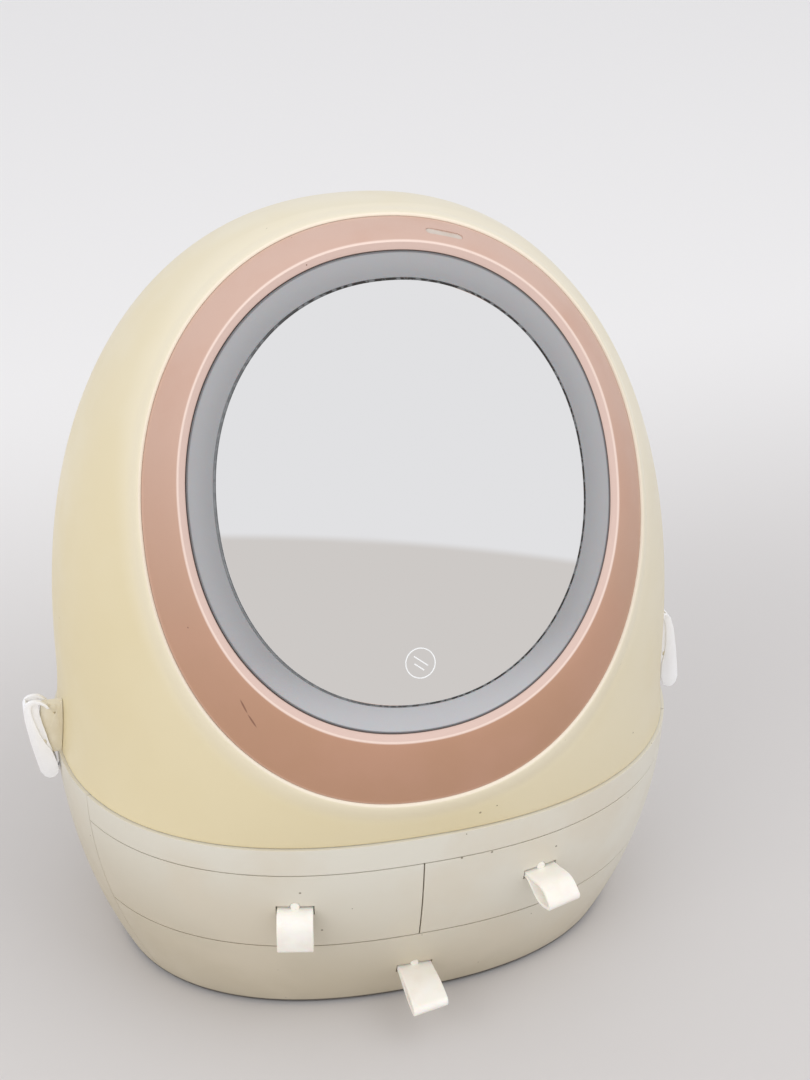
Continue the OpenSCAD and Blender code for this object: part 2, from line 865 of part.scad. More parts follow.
// Arm on the hood that the lever rocks on, with a round boss and a small hole near its top
bracket_top = 138.5;
boss_place = [-150.6, 136.1];
module latch_bracket()
  difference() {
    union() {
      latch_slice(-bracket_t / 2, bracket_t, [
        [hood_side(rim_z), rim_z], [hood_side(118), 118], [hood_side(126), 126],
        [hood_side(bracket_top), bracket_top], [-155.3, bracket_top], [-156, 137.4], [-156.6, 133],
        [-157, 128], [-157.8, 122], [-159.1, 119.4], [-159.3, 117.6], [-158.7, 116], [-157.2, 115],
        [-152.3, rim_z]
      ]);
      translate([boss_place[0], latch_y, boss_place[1]])
        rotate([90, 0, 0]) cylinder(r = 1.6, h = bracket_t / 2 + 0.25);
    }
    latch_axis() cylinder(r = pin_r, h = 20, center = true);
    translate([-149.9, latch_y - bracket_t / 2 + 1, 132.8]) rotate([90, 0, 0]) cylinder(r = 0.6, h = 4);
  }

module latch_pin() latch_axis() cylinder(r = pin_r, h = latch_w - 1.2, center = true);

// Side of the lever, seen from the front: a band that arches over the top and widens to a tongue
lever_band = [
  [-152.3, 136.4], [-153, 138.2], [-154.6, 139.9], [-156.5, 141.2], [-158.9, 141.6], [-161.3, 141.2],
  [-163.1, 140], [-164.1, 137.9], [-164.1, 131.1], [-163.3, 125], [-162.3, 118.1], [-161.2, 112.3],
  [-160.1, 106.5], [-159.1, 101.9], [-157.4, 99.1], [-155.2, 97.7], [-152.6, 98.2], [-151.1, 100],
  [-150.7, 102.2], [-151, 105.7], [-151.9, 109], [-153, 112.9], [-155.3, 116.9], [-157.7, 122.5],
  [-159.2, 127.9], [-160.4, 132.8], [-160.8, 137], [-160.3, 139.2], [-158.6, 139.9], [-156.4, 139.4],
  [-154.6, 138.1], [-153.6, 136.6]
];

// Thinner web inside the band
lever_web = [
  [-152.6, 112.5], [-155.3, 116.5], [-158.2, 122.5], [-159.7, 127.9], [-160.9, 132.8], [-161.3, 137],
  [-160.5, 139.5], [-158.6, 140.2], [-157.3, 139.9], [-156.9, 133], [-156, 127.7], [-154.8, 122.4],
  [-153.9, 117.4], [-152.9, 113.7]
];

// Back of the lever between its sides, with a lip at its foot
lever_back = [
  [-162.9, 140.2], [-164.1, 137.9], [-164.1, 131.1], [-163.3, 125], [-162.3, 118.1], [-161.2, 112.3],
  [-160.1, 106.5], [-159.1, 101.9], [-157.4, 99.1], [-155.2, 97.7], [-153.6, 97.9], [-153.6, 99.4],
  [-155, 99.3], [-156.3, 100.2], [-157.7, 102.6], [-158.8, 107], [-159.9, 112.7], [-161, 118.4],
  [-162, 125.2], [-162.8, 131.2], [-162.8, 137.2], [-162, 138.9]
];

module latch_lever()
  difference() {
    union() {
      for (side = [0, 1])
        translate([0, 2 * side * latch_y, 0]) mirror([0, side, 0]) {
          latch_slice(-latch_w / 2, flange_t, lever_band);
          latch_slice(-latch_w / 2 + web_in, flange_t - web_in, lever_web);
        }
      latch_slice(-latch_w / 2, latch_w, lever_back);
    }
    latch_axis() cylinder(r = pin_r + 0.08, h = latch_w - 1, center = true);
  }

// Turns a lever about its pin, foot outwards
module opened(angle)
  translate([latch_x, 0, latch_z]) rotate([0, angle, 0]) translate([-latch_x, 0, -latch_z]) children();

module left_latch_bracket() color(ivory) latch_bracket();
module right_latch_bracket() color(ivory) mirror([1, 0, 0]) latch_bracket();
module left_latch_pin() color("silver") latch_pin();
module right_latch_pin() color("silver") mirror([1, 0, 0]) latch_pin();
module left_latch_lever() color(white) latch_lever();
module right_latch_lever() color(white) mirror([1, 0, 0]) opened(ajar) latch_lever();

// ---------------------------------------------------------------- the whole box

placed() base_shell();
placed() front_band();
placed() bottom_plate();
placed() middle_shelf();
placed() centre_divider();
placed() top_deck();
placed() organiser_tray();
placed() drawer_runners();
placed() feet();
placed() base_screws();
placed() left_catch();
placed() right_catch();
placed() left_drawer_front();
placed() left_drawer_tray();
placed() left_pull_strap();
placed() left_strap_pin();
placed() right_drawer_front();
placed() right_drawer_tray();
placed() right_pull_strap();
placed() right_strap_pin();
placed() lower_drawer_front();
placed() lower_drawer_tray();
placed() lower_pull_strap();
placed() lower_strap_pin();
placed() hood_shell();
placed() hood_skirt();
placed() mirror_collar();
placed() mirror_frame();
placed() frame_insert();
placed() light_diffuser();
placed() mirror_seal();
placed() mirror_glass();
placed() touch_mark();
placed() touch_pad();
placed() lamp_housing();
placed() lamp_board();
placed() lamps();
placed() control_board();
placed() battery_pack();
placed() charging_wire();
placed() charging_socket();
placed() hood_screws();
placed() left_latch_bracket();
placed() left_latch_pin();
placed() right_latch_bracket();
placed() right_latch_pin();
placed() left_latch_lever();
placed() right_latch_lever();
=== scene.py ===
"""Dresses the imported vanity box: a yellowed plastic egg with a mirror, on a base with three drawers."""
import math

import bmesh
import bpy
from mathutils import Matrix, Vector


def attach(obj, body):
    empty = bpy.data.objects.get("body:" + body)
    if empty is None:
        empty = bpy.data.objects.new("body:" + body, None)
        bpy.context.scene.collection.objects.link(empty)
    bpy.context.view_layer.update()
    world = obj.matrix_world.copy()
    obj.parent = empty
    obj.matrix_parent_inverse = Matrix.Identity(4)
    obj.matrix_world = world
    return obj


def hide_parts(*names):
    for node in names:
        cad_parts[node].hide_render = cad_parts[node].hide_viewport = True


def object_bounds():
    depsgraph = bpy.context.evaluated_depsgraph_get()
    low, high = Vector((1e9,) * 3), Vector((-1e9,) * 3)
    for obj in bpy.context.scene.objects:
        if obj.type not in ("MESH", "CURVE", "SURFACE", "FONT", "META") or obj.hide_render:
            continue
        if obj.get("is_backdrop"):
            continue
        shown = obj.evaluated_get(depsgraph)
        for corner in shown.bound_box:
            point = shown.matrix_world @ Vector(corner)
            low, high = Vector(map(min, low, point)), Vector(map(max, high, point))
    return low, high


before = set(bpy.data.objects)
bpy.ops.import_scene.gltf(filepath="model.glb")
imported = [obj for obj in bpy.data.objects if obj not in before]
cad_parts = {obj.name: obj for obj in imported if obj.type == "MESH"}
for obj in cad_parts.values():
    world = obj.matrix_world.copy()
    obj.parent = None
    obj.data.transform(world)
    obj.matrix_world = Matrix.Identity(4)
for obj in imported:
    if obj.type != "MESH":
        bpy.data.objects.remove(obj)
cad_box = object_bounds()

# ------------------------------------------------------------------ sizes
# Millimetres in the case's own frame: x to the right, y back, z up from the table.

MM = 0.001
CASE_Y = 8.5
TO_SCENE = Matrix.Translation((0, CASE_Y * MM, 0)) @ Matrix.Scale(MM, 4)

# Base: a bowl that widens from its foot to its rim
RIM_W, RIM_D, RIM_Z = 300, 243, 111
FOOT_W, FOOT_D = 250, 190
SHELL_Z = 1.6
PLAN_POWER = 2.35
WALL = 3

# Its drawer fronts, the band above them, and the ledges and lip on its inside
SPLIT_Z = 50.4
BAND_Z = 97
SEAM_Y, SEAM_GAP = 51, 0.4
GAP = 0.6
LEDGE_T, LEDGE_IN = 2, 8
LIP_H, LIP_IN, LIP_T = 5, 5.1, 2
PLATE_TOP, SHELF_Z = 4.5, 48.6

# Pull straps, and the slots and pegs that hold them
PULL_X = 58
UPPER_SLOT_Z, LOWER_SLOT_Z, SLOT_H, SLOT_GAP = 75.4, 24.2, 5.6, 1
SLOT_CUT, NOTCH_CUT, CUT_BACK = 24, 20, 2
STRAP_W, STRAP_T, STRAP_ROUND = 16.4, 1.6, 0.55
PIN_DEPTH, STRAP_OUT, STRAP_BEND, STRAP_FOLD = 12, 13.5, 5, 0.9
LEAF_START, LEAF_STEPS = 3, 44
OPEN_FROM, OPEN_LATE, OPEN_NARROW = 1, 1.3, 1.2
TWIST_FROM, OFF_AXIS = 2, 0.01
PEG_R, PEG_GAP, PEG_LONG, PEG_BACK, PEG_UP = 2.1, 0.2, 3, 0.6, 0.1

# Hood: an egg that leans forward, with a soft bead round the mirror's opening
HOOD_TOP = 366
WAIST_Z, WAIST_W, WAIST_D = 147, 291.6, 248
RIM_LEDGE = 1.5
LEAN = 8
TOP_POWER = 2.15
BELL_POWER, BELL_ROUND = 2.3, 2.27
HOOD_WALL = 2.6
HOOD_LIFT = 0.4
HOOD_HEART, HEART_REACH = Vector((0, -4, 185)), (40, 260)
HOOD_COUNT, HOOD_STEPS, HOOD_INNER_STEPS = 256, 92, 48
BEAD_W, BEAD_H, BEAD_R = 11, 1.3, 1.2
BEAD_PLACES = [0, 0.1, 0.35, 0.7, 1.2, 2, 3, 4, 5, 6, 7, 8, 9, 10, 11]
SOCKET_W, SOCKET_H, SOCKET_Z = 9, 3.6, 137
SOCKET_Y, SOCKET_CUT = 120, 60

# Mirror, light ring and pink frame: tilted ovals, each with its two half-axes
MIRROR_Y, MIRROR_Z, MIRROR_TILT = 82.6, 263.2, math.radians(22.5)
OVAL_POWER, OVAL_COUNT = 2.125, 192
DEPTH_REACH = (-60, 40)
GLASS_A, GLASS_B, GLASS_T, GLASS_BEVEL = 79.9, 90.2, 3, 0.15
SEAL_W = 1
LIGHT_A, LIGHT_B, LIGHT_GAP = 92.1, 102.4, 0.2
LIGHT_STEP, LIGHT_T = 0.8, 2.2
FRAME_A, FRAME_B, FRAME_DROP = 110, 126.8, 9
FRAME_GAP = 0.12
FRAME_T, FRAME_FLOOR = 3, 22
FRAME_SWELL, FRAME_FACE_STEPS = 1.474, 14
BEVEL_W, BEVEL_T = 3.6, 1.4
COLLAR_W, COLLAR_SHELF, COLLAR_TOP, COLLAR_DEPTH = 2.4, 10, 1, 24.5

# Recess near the top of the frame: right, up and out from the middle of the glass
INSERT_PLACE = (29.5, 107.8, -5.7)
INSERT_TURN, INSERT_LEAN = math.radians(-16), math.radians(50)
INSERT_HALF, INSERT_R, INSERT_DEPTH, INSERT_CUT = 6, 2.3, 2.8, 8

# Marks that years of use have left, each where it is on the surface
HOOD_MARKS = [(-107.8, -82.8, 231.6), (-103.5, -89.5, 222.1), (25.4, -120.5, 120.1)]
BASE_MARKS = [
    (17.5, -120.6, 96.1), (32, -119.6, 95.8), (65.4, -112.4, 87.3),
    (-55.9, -114.8, 86.7), (-45.8, -112.9, 61.8),
]
PINK_MARKS = [
    ((-77, -110.4, 187), (0.5, 3, 4.4), (0, math.radians(-22), 0)),
    ((-74, -112.3, 180.4), (0.5, 3, 4.4), (0, math.radians(-28), 0)),
]
FLECKED = 0.7  # share of a flecked pattern's cells that hold a fleck

# ------------------------------------------------------------------ camera
# Fitted to the outline in the photo: metres, and millimetres of focal length.

CAMERA_PLACE = Vector((-0.1907, -0.7745, 0.6392))
CAMERA_LENS = 64.42
CAMERA_YAW, CAMERA_PITCH, CAMERA_ROLL = math.radians(15.26), math.radians(28.72), math.radians(0.36)


def make_camera():
    ahead = Vector((
        math.sin(CAMERA_YAW) * math.cos(CAMERA_PITCH),
        math.cos(CAMERA_YAW) * math.cos(CAMERA_PITCH),
        -math.sin(CAMERA_PITCH),
    ))
    level = Vector((math.cos(CAMERA_YAW), -math.sin(CAMERA_YAW), 0))
    above = level.cross(ahead)
    right = level * math.cos(CAMERA_ROLL) + above * math.sin(CAMERA_ROLL)
    up = above * math.cos(CAMERA_ROLL) - level * math.sin(CAMERA_ROLL)
    data = bpy.data.cameras.new("camera")
    data.sensor_fit = "AUTO"
    data.sensor_width = 36
    data.lens = CAMERA_LENS
    camera = bpy.data.objects.new("camera", data)
    bpy.context.scene.collection.objects.link(camera)
    turned = Matrix((right, up, -ahead)).transposed().to_4x4()
    camera.matrix_world = Matrix.Translation(CAMERA_PLACE) @ turned
    bpy.context.scene.camera = camera


make_camera()

# ------------------------------------------------------------------ places


def from_mirror(u, w, d):
    """A point right, up and out of the glass, in the case's frame."""
    sin, cos = math.sin(MIRROR_TILT), math.cos(MIRROR_TILT)
    return Vector((u, -MIRROR_Y + w * sin - d * cos, MIRROR_Z + w * cos + d * sin))


def in_metres(point):
    """A point of the case's frame where it is in the scene."""
    return [point[0] * MM, (point[1] + CASE_Y) * MM, point[2] * MM]


# ------------------------------------------------------------------ material helpers


def linear(colour):
    """An sRGB hex colour as the linear colour that the shaders take."""
    values = [int(colour[i:i + 2], 16) / 255 for i in (1, 3, 5)]
    return [v / 12.92 if v <= 0.04045 else ((v + 0.055) / 1.055) ** 2.4 for v in values] + [1]


def add(tree, kind, inputs=None, **settings):
    """Adds a node: inputs are numbers, colours or other nodes' outputs, settings are its own properties."""
    made = tree.nodes.new("ShaderNode" + kind)
    for name, value in settings.items():
        setattr(made, name, value)
    for name, value in (inputs or {}).items():
        if isinstance(value, bpy.types.NodeSocket):
            tree.links.new(value, made.inputs[name])
        else:
            made.inputs[name].default_value = value
    return made


def new_material(name, colour, **shader_values):
    """A material with one Principled shader, and the object's coordinates to draw patterns with.

    The colour is the plain one, which shows where no pattern is linked."""
    material = bpy.data.materials.new(name)
    material.use_nodes = True
    tree = material.node_tree
    tree.nodes.clear()
    shader = add(tree, "BsdfPrincipled", {"Base Color": linear(colour)})
    for socket, value in shader_values.items():
        shader.inputs[socket.replace("_", " ")].default_value = value
    add(tree, "OutputMaterial", {"Surface": shader.outputs["BSDF"]})
    place = add(tree, "TexCoord").outputs["Object"]
    return material, tree, shader, place


def per_mm(size):
    """The scale at which a texture's features are size millimetres across."""
    return 1 / (size * MM)


def lay(tree, colour, other, value, low, high, at_low=0.0, at_high=1.0):
    """Another colour laid over the first: its share eases from at_low, where value is low, to at_high.

    Each colour is a hex colour or a socket."""
    span = {"Value": value, "From Min": low, "From Max": high, "To Min": at_low, "To Max": at_high}
    share = add(tree, "MapRange", span, interpolation_type="SMOOTHSTEP").outputs["Result"]
    under, over = (linear(c) if isinstance(c, str) else c for c in (colour, other))
    return add(tree, "Mix", {0: share, 6: under, 7: over}, data_type="RGBA").outputs[2]


def fade(tree, place, colour, other, way, low, high, at_low=0.0, at_high=1.0):
    """One colour fading into another along a way, between two distances in metres."""
    reach = add(tree, "VectorMath", {0: place, 1: way}, operation="DOT_PRODUCT").outputs["Value"]
    return lay(tree, colour, other, reach, low, high, at_low, at_high)


def cloud(tree, place, colour, other, size, low, high, at_low=0.0, at_high=1.0, detail=3.0):
    """One colour clouded with another, in soft patches about size millimetres across."""
    noise = add(tree, "TexNoise", {"Vector": place, "Scale": per_mm(size), "Detail": detail}).outputs["Fac"]
    return lay(tree, colour, other, noise, low, high, at_low, at_high)


def flecks(tree, place, colour, other, spacing, radius):
    """A colour with sparse round flecks: one in a cell of a random pattern, and only in some of the cells."""
    cells = add(tree, "TexVoronoi", {"Vector": place, "Scale": per_mm(spacing)}).outputs
    flecked = lay(tree, colour, other, cells["Distance"], radius * 0.6 / spacing, radius / spacing, 1, 0)
    pick = add(tree, "SeparateXYZ", {"Vector": cells["Color"]}).outputs["X"]
    return lay(tree, colour, flecked, pick, FLECKED - 0.01, FLECKED, 1, 0)


def mark(tree, place, colour, other, centre, half_axes, strength=0.8, turn=(0, 0, 0)):
    """A colour with one deliberate mark: a soft-edged ellipsoid about a place on the surface."""
    local = add(tree, "Mapping", {
        "Vector": place, "Location": in_metres(centre), "Rotation": turn,
        "Scale": [v * MM for v in half_axes],
    }, vector_type="TEXTURE").outputs["Vector"]
    reach = add(tree, "VectorMath", {0: local}, operation="LENGTH").outputs["Value"]
    return lay(tree, colour, other, reach, 0.55, 1, strength, 0)


def oval_share(tree, place, a, b, drop=0):
    """Distance from the middle of the mirror in shares of a superellipse's half-axes."""
    local = add(tree, "Mapping", {
        "Vector": place, "Location": in_metres(from_mirror(0, -drop, 0)),
        "Rotation": (math.pi / 2 - MIRROR_TILT, 0, 0), "Scale": (a * MM, b * MM, 1),
    }, vector_type="TEXTURE").outputs["Vector"]
    far = add(tree, "VectorMath", {0: local}, operation="ABSOLUTE").outputs["Vector"]
    parts = add(tree, "SeparateXYZ", {"Vector": far}).outputs
    across = add(tree, "Math", {0: parts["X"], 1: OVAL_POWER}, operation="POWER").outputs["Value"]
    up = add(tree, "Math", {0: parts["Y"], 1: OVAL_POWER}, operation="POWER").outputs["Value"]
    both = add(tree, "Math", {0: across, 1: up}, operation="ADD").outputs["Value"]
    return add(tree, "Math", {0: both, 1: 1 / OVAL_POWER}, operation="POWER").outputs["Value"]


def roughen(tree, shader, place, size, smoothest, roughest, start=0.3, end=0.7, detail=4.0):
    """A roughness that wanders between two values, in patches about size millimetres across."""
    noise = add(tree, "TexNoise", {"Vector": place, "Scale": per_mm(size), "Detail": detail}).outputs["Fac"]
    span = {"Value": noise, "From Min": start, "From Max": end, "To Min": smoothest, "To Max": roughest}
    rough = add(tree, "MapRange", span, interpolation_type="SMOOTHSTEP").outputs["Result"]
    tree.links.new(rough, shader.inputs["Roughness"])


def grain(tree, shader, place, size, depth, detail=2.0):
    """A fine uneven surface: bump of a real size and depth in millimetres."""
    noise = add(tree, "TexNoise", {"Vector": place, "Scale": per_mm(size), "Detail": detail}).outputs["Fac"]
    bump = add(tree, "Bump", {"Height": noise, "Distance": depth * MM, "Strength": 1.0})
    tree.links.new(bump.outputs["Normal"], shader.inputs["Normal"])


# ------------------------------------------------------------------ materials


def yellowed_abs():
    """ABS that daylight has yellowed, most on the left and low down, with painted sheen that pales it towards
    the top and right, and a painted highlight on the lip round the mirror.
    """
    material, tree, shader, place = new_material("yellowed_moulded_abs", "#E6DDB6", IOR=1.54)
    # Yellower on the left and low down, where the plastic has yellowed most; paler towards the top and right,
    # which is partly painted sheen
    colour = fade(tree, place, "#E5D7B0", "#E3DBC4", (0.75, 0, 1), 0.04, 0.37)
    colour = cloud(tree, place, colour, "#DFCFA3", 80, 0.4, 0.7, 0, 0.4)
    share = oval_share(tree, place, FRAME_A, FRAME_B, FRAME_DROP)
    # The back of the egg lies in the same oval, so there the shares are pushed past the lip's
    back = add(tree, "SeparateXYZ", {"Vector": place}).outputs["Y"]
    behind = add(tree, "MapRange", {"Value": back, "From Max": 0.03}, interpolation_type="SMOOTHSTEP")
    share = add(tree, "Math", {0: share, 1: behind.outputs["Result"]}, operation="ADD").outputs["Value"]
    # Painted highlight on the bead round the mirror's opening: a pale band, and a bright line along its very
    # edge
    colour = lay(tree, colour, "#EFE6D0", share, 1.01, 1.1, 0.6, 0)
    colour = lay(tree, colour, "#F6ECDA", share, 1.009, 1.014, 0.85, 0)
    colour = flecks(tree, place, colour, "#94825C", 15, 0.5)
    for centre in HOOD_MARKS:
        colour = mark(tree, place, colour, "#7B6846", centre, (0.9, 0.9, 0.9))
    tree.links.new(colour, shader.inputs["Base Color"])
    roughen(tree, shader, place, 25, 0.32, 0.44)
    grain(tree, shader, place, 0.9, 0.015)
    return material


def cream_abs():
    """ABS less yellowed than the hood: a greyer cream, with painted shade that darkens it towards the table
    and a painted contact shadow along its foot.
    """
    material, tree, shader, place = new_material("cream_moulded_abs", "#E2DCC6", IOR=1.54)
    # Painted shade: darker and browner low down, lighter towards the rim
    colour = fade(tree, place, "#C9BEA7", "#E0DCCF", (0.25, 0, 1), 0.0, 0.1)
    colour = cloud(tree, place, colour, "#D8CDB8", 50, 0.42, 0.7, 0, 0.5, detail=4.0)
    colour = flecks(tree, place, colour, "#857860", 13, 0.4)
    # Painted contact shadow: near black in the lowest few millimetres above the table
    colour = fade(tree, place, colour, "#3A3126", (0, 0, 1), 0.002, 0.0035, 1, 0)
    for centre in BASE_MARKS:
        colour = mark(tree, place, colour, "#6E6048", centre, (0.7, 0.7, 0.7))
    tree.links.new(colour, shader.inputs["Base Color"])
    roughen(tree, shader, place, 18, 0.36, 0.5)
    grain(tree, shader, place, 0.9, 0.015)
    return material


def pink_lacquer():
    """Sprayed lacquer on ABS: nearly matt, with painted light that pales it towards the top, a paler bevel
    with a painted highlight on its crest, a painted shadow line by the light ring and painted light along its
    outer rim.
    """
    material, tree, shader, place = new_material("pink_lacquer", "#CFA48E", IOR=1.5)
    # Painted light: paler towards the top, darker low down
    colour = fade(tree, place, "#B98D71", "#CFAFA0", (0.1, 0, 1), 0.15, 0.36)
    colour = cloud(tree, place, colour, "#C3957E", 40, 0.4, 0.7, 0, 0.4, detail=4.0)
    # From the light ring outwards: a painted shadow line, the pale bevel and a painted highlight on its crest
    edge = oval_share(tree, place, LIGHT_A, LIGHT_B)
    colour = lay(tree, colour, "#DDC1B5", edge, 1.033, 1.037, 1, 0)
    # Painted shade in the gap by the light ring
    colour = lay(tree, colour, "#5E4A42", edge, 1.003, 1.006, 0.9, 0)
    # Painted highlight along the crest of the bevel
    crest = lay(tree, colour, "#F3DDD1", edge, 1.032, 1.036, 0, 0.9)
    colour = lay(tree, crest, colour, edge, 1.04, 1.048)
    rim = oval_share(tree, place, FRAME_A, FRAME_B, FRAME_DROP)
    # Painted light along the outer rim, lifting the shade at the gap to the hood
    colour = lay(tree, colour, "#DDBBA8", rim, 0.99, 1.0, 0, 0.4)
    colour = flecks(tree, place, colour, "#8A6250", 13, 0.4)
    for centre, half_axes, turn in PINK_MARKS:
        colour = mark(tree, place, colour, "#7A5140", centre, half_axes, 0.75, turn)
    tree.links.new(colour, shader.inputs["Base Color"])
    roughen(tree, shader, place, 12, 0.4, 0.52)
    grain(tree, shader, place, 0.6, 0.015, detail=3.0)
    return material


def plain_plastic(name, colour, patch, roughness, grain_size, ior=1.49):
    """Moulded plastic with a fine even grain and slight clouding."""
    material, tree, shader, place = new_material(name, colour, IOR=ior)
    clouded = cloud(tree, place, colour, patch, 12, 0.3, 0.7)
    tree.links.new(clouded, shader.inputs["Base Color"])
    roughen(tree, shader, place, 6, roughness - 0.05, roughness + 0.07)
    grain(tree, shader, place, grain_size, 0.015)
    return material


def frosted_diffuser():
    """Frosted polycarbonate over unlit lamps: grey, soft, with light creeping a little way in; painted shade
    darkens it towards the glass and at its outer edge, and painted light pales it low down.
    """
    material, tree, shader, place = new_material("frosted_polycarbonate", "#A8A9AB", IOR=1.58)
    shader.inputs["Subsurface Weight"].default_value = 0.15
    shader.inputs["Subsurface Scale"].default_value = 0.004
    share = oval_share(tree, place, LIGHT_A, LIGHT_B)
    # Painted shade: darker towards the glass
    colour = lay(tree, "#9B9B9D", "#A6A6A8", share, 0.885, 0.985)
    # Painted reflected light: paler low down
    colour = fade(tree, place, colour, "#C6C6C9", (0, 0, -1), -0.21, -0.17, 0, 0.7)
    # Painted shade: a dark line at the outer edge, in the gap to the frame
    colour = lay(tree, colour, "#6F6F71", share, 0.99, 0.995)
    tree.links.new(colour, shader.inputs["Base Color"])
    roughen(tree, shader, place, 8, 0.45, 0.58)
    grain(tree, shader, place, 0.5, 0.01)
    return material


def chipped_seal():
    """Dark edge of the mirror's backing: thin and grey on the left, black and chipped on the right."""
    material, tree, shader, place = new_material("chipped_mirror_edge", "#4A4644", Roughness=0.5, IOR=1.52)
    black = fade(tree, place, "#8D9092", "#26221F", (1, 0, 0.25), -0.03, 0.07, 0.25, 1)
    chipped = cloud(tree, place, "#8D9092", black, 2.5, 0.42, 0.5, 0.45, 1, detail=2.0)
    tree.links.new(chipped, shader.inputs["Base Color"])
    return material


def silvered_glass():
    """Float glass silvered on the back: a clean mirror with the faintest haze."""
    material, tree, shader, place = new_material("silvered_glass", "#F2F3F3", Metallic=1.0)
    roughen(tree, shader, place, 40, 0.0, 0.025, start=0.4, end=0.8, detail=3.0)
    return material


def silicone():
    """Ivory silicone: matt and slightly waxy, because light goes a short way in."""
    material, tree, shader, place = new_material("ivory_silicone", "#FAF5EB", IOR=1.41)
    shader.inputs["Subsurface Weight"].default_value = 0.2
    shader.inputs["Subsurface Scale"].default_value = 0.002
    colour = cloud(tree, place, "#FBF7EF", "#F6F0E6", 8, 0.35, 0.75, detail=4.0)
    tree.links.new(colour, shader.inputs["Base Color"])
    roughen(tree, shader, place, 5, 0.45, 0.6)
    grain(tree, shader, place, 0.5, 0.02, detail=3.0)
    return material


def turned_steel():
    """Plated steel screws and pins: bright, with an uneven sheen."""
    material, tree, shader, place = new_material("plated_steel", "#C6C7C8", Metallic=1.0)
    roughen(tree, shader, place, 1.5, 0.22, 0.4)
    return material


HOOD_ABS = yellowed_abs()
BASE_ABS = cream_abs()
TRAY_PLASTIC = plain_plastic("tray_polystyrene", "#E6E1CF", "#E0DAC5", 0.4, 1.0, ior=1.59)
PINK = pink_lacquer()
INSERT = plain_plastic("insert_polycarbonate", "#D9CFC6", "#C9BCB0", 0.3, 0.5, ior=1.58)
DIFFUSER = frosted_diffuser()
SEAL = chipped_seal()
MIRROR = silvered_glass()
MARK = plain_plastic("frosted_mark", "#F4F5F5", "#F4F5F5", 0.5, 0.3)
SILICONE = silicone()
LATCH_WHITE = plain_plastic("latch_polypropylene", "#FDFDFF", "#F9F9FB", 0.35, 0.7)
BRACKET = plain_plastic("bracket_abs", "#E9E1CC", "#E0D6BC", 0.4, 0.7, ior=1.54)
STEEL = turned_steel()
RUBBER = plain_plastic("foot_rubber", "#35332F", "#2C2A27", 0.75, 0.4, ior=1.52)
HOUSING = plain_plastic("housing_abs", "#ECEBE6", "#E4E2DB", 0.45, 0.8, ior=1.54)
BOARD_WHITE = plain_plastic("lamp_board_mask", "#F2F2EE", "#EAEAE4", 0.35, 0.5)
BOARD_GREEN = plain_plastic("control_board_mask", "#2F6B45", "#275C3A", 0.3, 0.4, ior=1.55)
PHOSPHOR = plain_plastic("lamp_phosphor", "#F5E79E", "#EBD98A", 0.35, 0.4)
COPPER = plain_plastic("copper_foil", "#B87333", "#A9652A", 0.3, 0.4)
WRAP = plain_plastic("battery_wrap", "#8F979C", "#858D93", 0.3, 0.6)
WIRE = plain_plastic("wire_pvc", "#26262A", "#1F1F22", 0.45, 0.4, ior=1.53)
SOCKET = plain_plastic("socket_nylon", "#38383B", "#303033", 0.5, 0.4, ior=1.53)

# ------------------------------------------------------------------ mesh helpers


def superellipse(a, b, power, turn):
    """The point of a superellipse with half-axes a and b at a turn in radians."""
    c, s = math.cos(turn), math.sin(turn)
    x = a * math.copysign(abs(c) ** (2 / power), c)
    y = b * math.copysign(abs(s) ** (2 / power), s)
    return x, y


def draw_out(count, steps, place, closed=False):
    """A skin drawn out of a ring of edges, step by step: place(step, turn) says where each point goes.

    A closed skin ends where it began, and its last ring is welded to the first."""
    skin = bmesh.new()
    turn = skin.verts.layers.float.new("turn")
    for i, vert in enumerate(bmesh.ops.create_circle(skin, segments=count, radius=1)["verts"]):
        vert[turn] = math.tau * i / count
        vert.co = place(0, vert[turn])
    edge_ring = skin.edges[:]
    for step in range(1, steps + 1 if closed else steps):
        grown = bmesh.ops.extrude_edge_only(skin, edges=edge_ring)["geom"]
        for vert in grown:
            if isinstance(vert, bmesh.types.BMVert):
                vert.co = place(step % steps, vert[turn])
        edge_ring = [edge for edge in grown if isinstance(edge, bmesh.types.BMEdge) and edge.is_boundary]
    bmesh.ops.remove_doubles(skin, verts=skin.verts[:], dist=0.002)
    bmesh.ops.recalc_face_normals(skin, faces=skin.faces[:])
    return skin


def cut_off(skin, point, outwards):
    """Cuts away what lies on the outward side of a plane, and closes the cut."""
    geometry = skin.verts[:] + skin.edges[:] + skin.faces[:]
    made = bmesh.ops.bisect_plane(
        skin, geom=geometry, plane_co=point, plane_no=outwards, clear_outer=True,
    )
    edges = [item for item in made["geom_cut"] if isinstance(item, bmesh.types.BMEdge)]
    bmesh.ops.edgeloop_fill(skin, edges=edges)


def to_object(name, skin):
    """Puts a finished mesh in the scene as an object."""
    mesh = bpy.data.meshes.new(name)
    skin.to_mesh(mesh)
    skin.free()
    made = bpy.data.objects.new(name, mesh)
    bpy.context.scene.collection.objects.link(made)
    return made


def carve(skin, cutter, operation="DIFFERENCE"):
    """One closed mesh cut out of another, or joined to it by UNION."""
    block, tool = to_object("block", skin), to_object("tool", cutter)
    cut = block.modifiers.new("cut", "BOOLEAN")
    cut.operation = operation
    cut.object = tool
    cut.solver = "EXACT"
    finished = block.evaluated_get(bpy.context.evaluated_depsgraph_get())
    result = bmesh.new()
    result.from_mesh(finished.to_mesh())
    for thing in (block, tool):
        mesh = thing.data
        bpy.data.objects.remove(thing)
        bpy.data.meshes.remove(mesh)
    return result


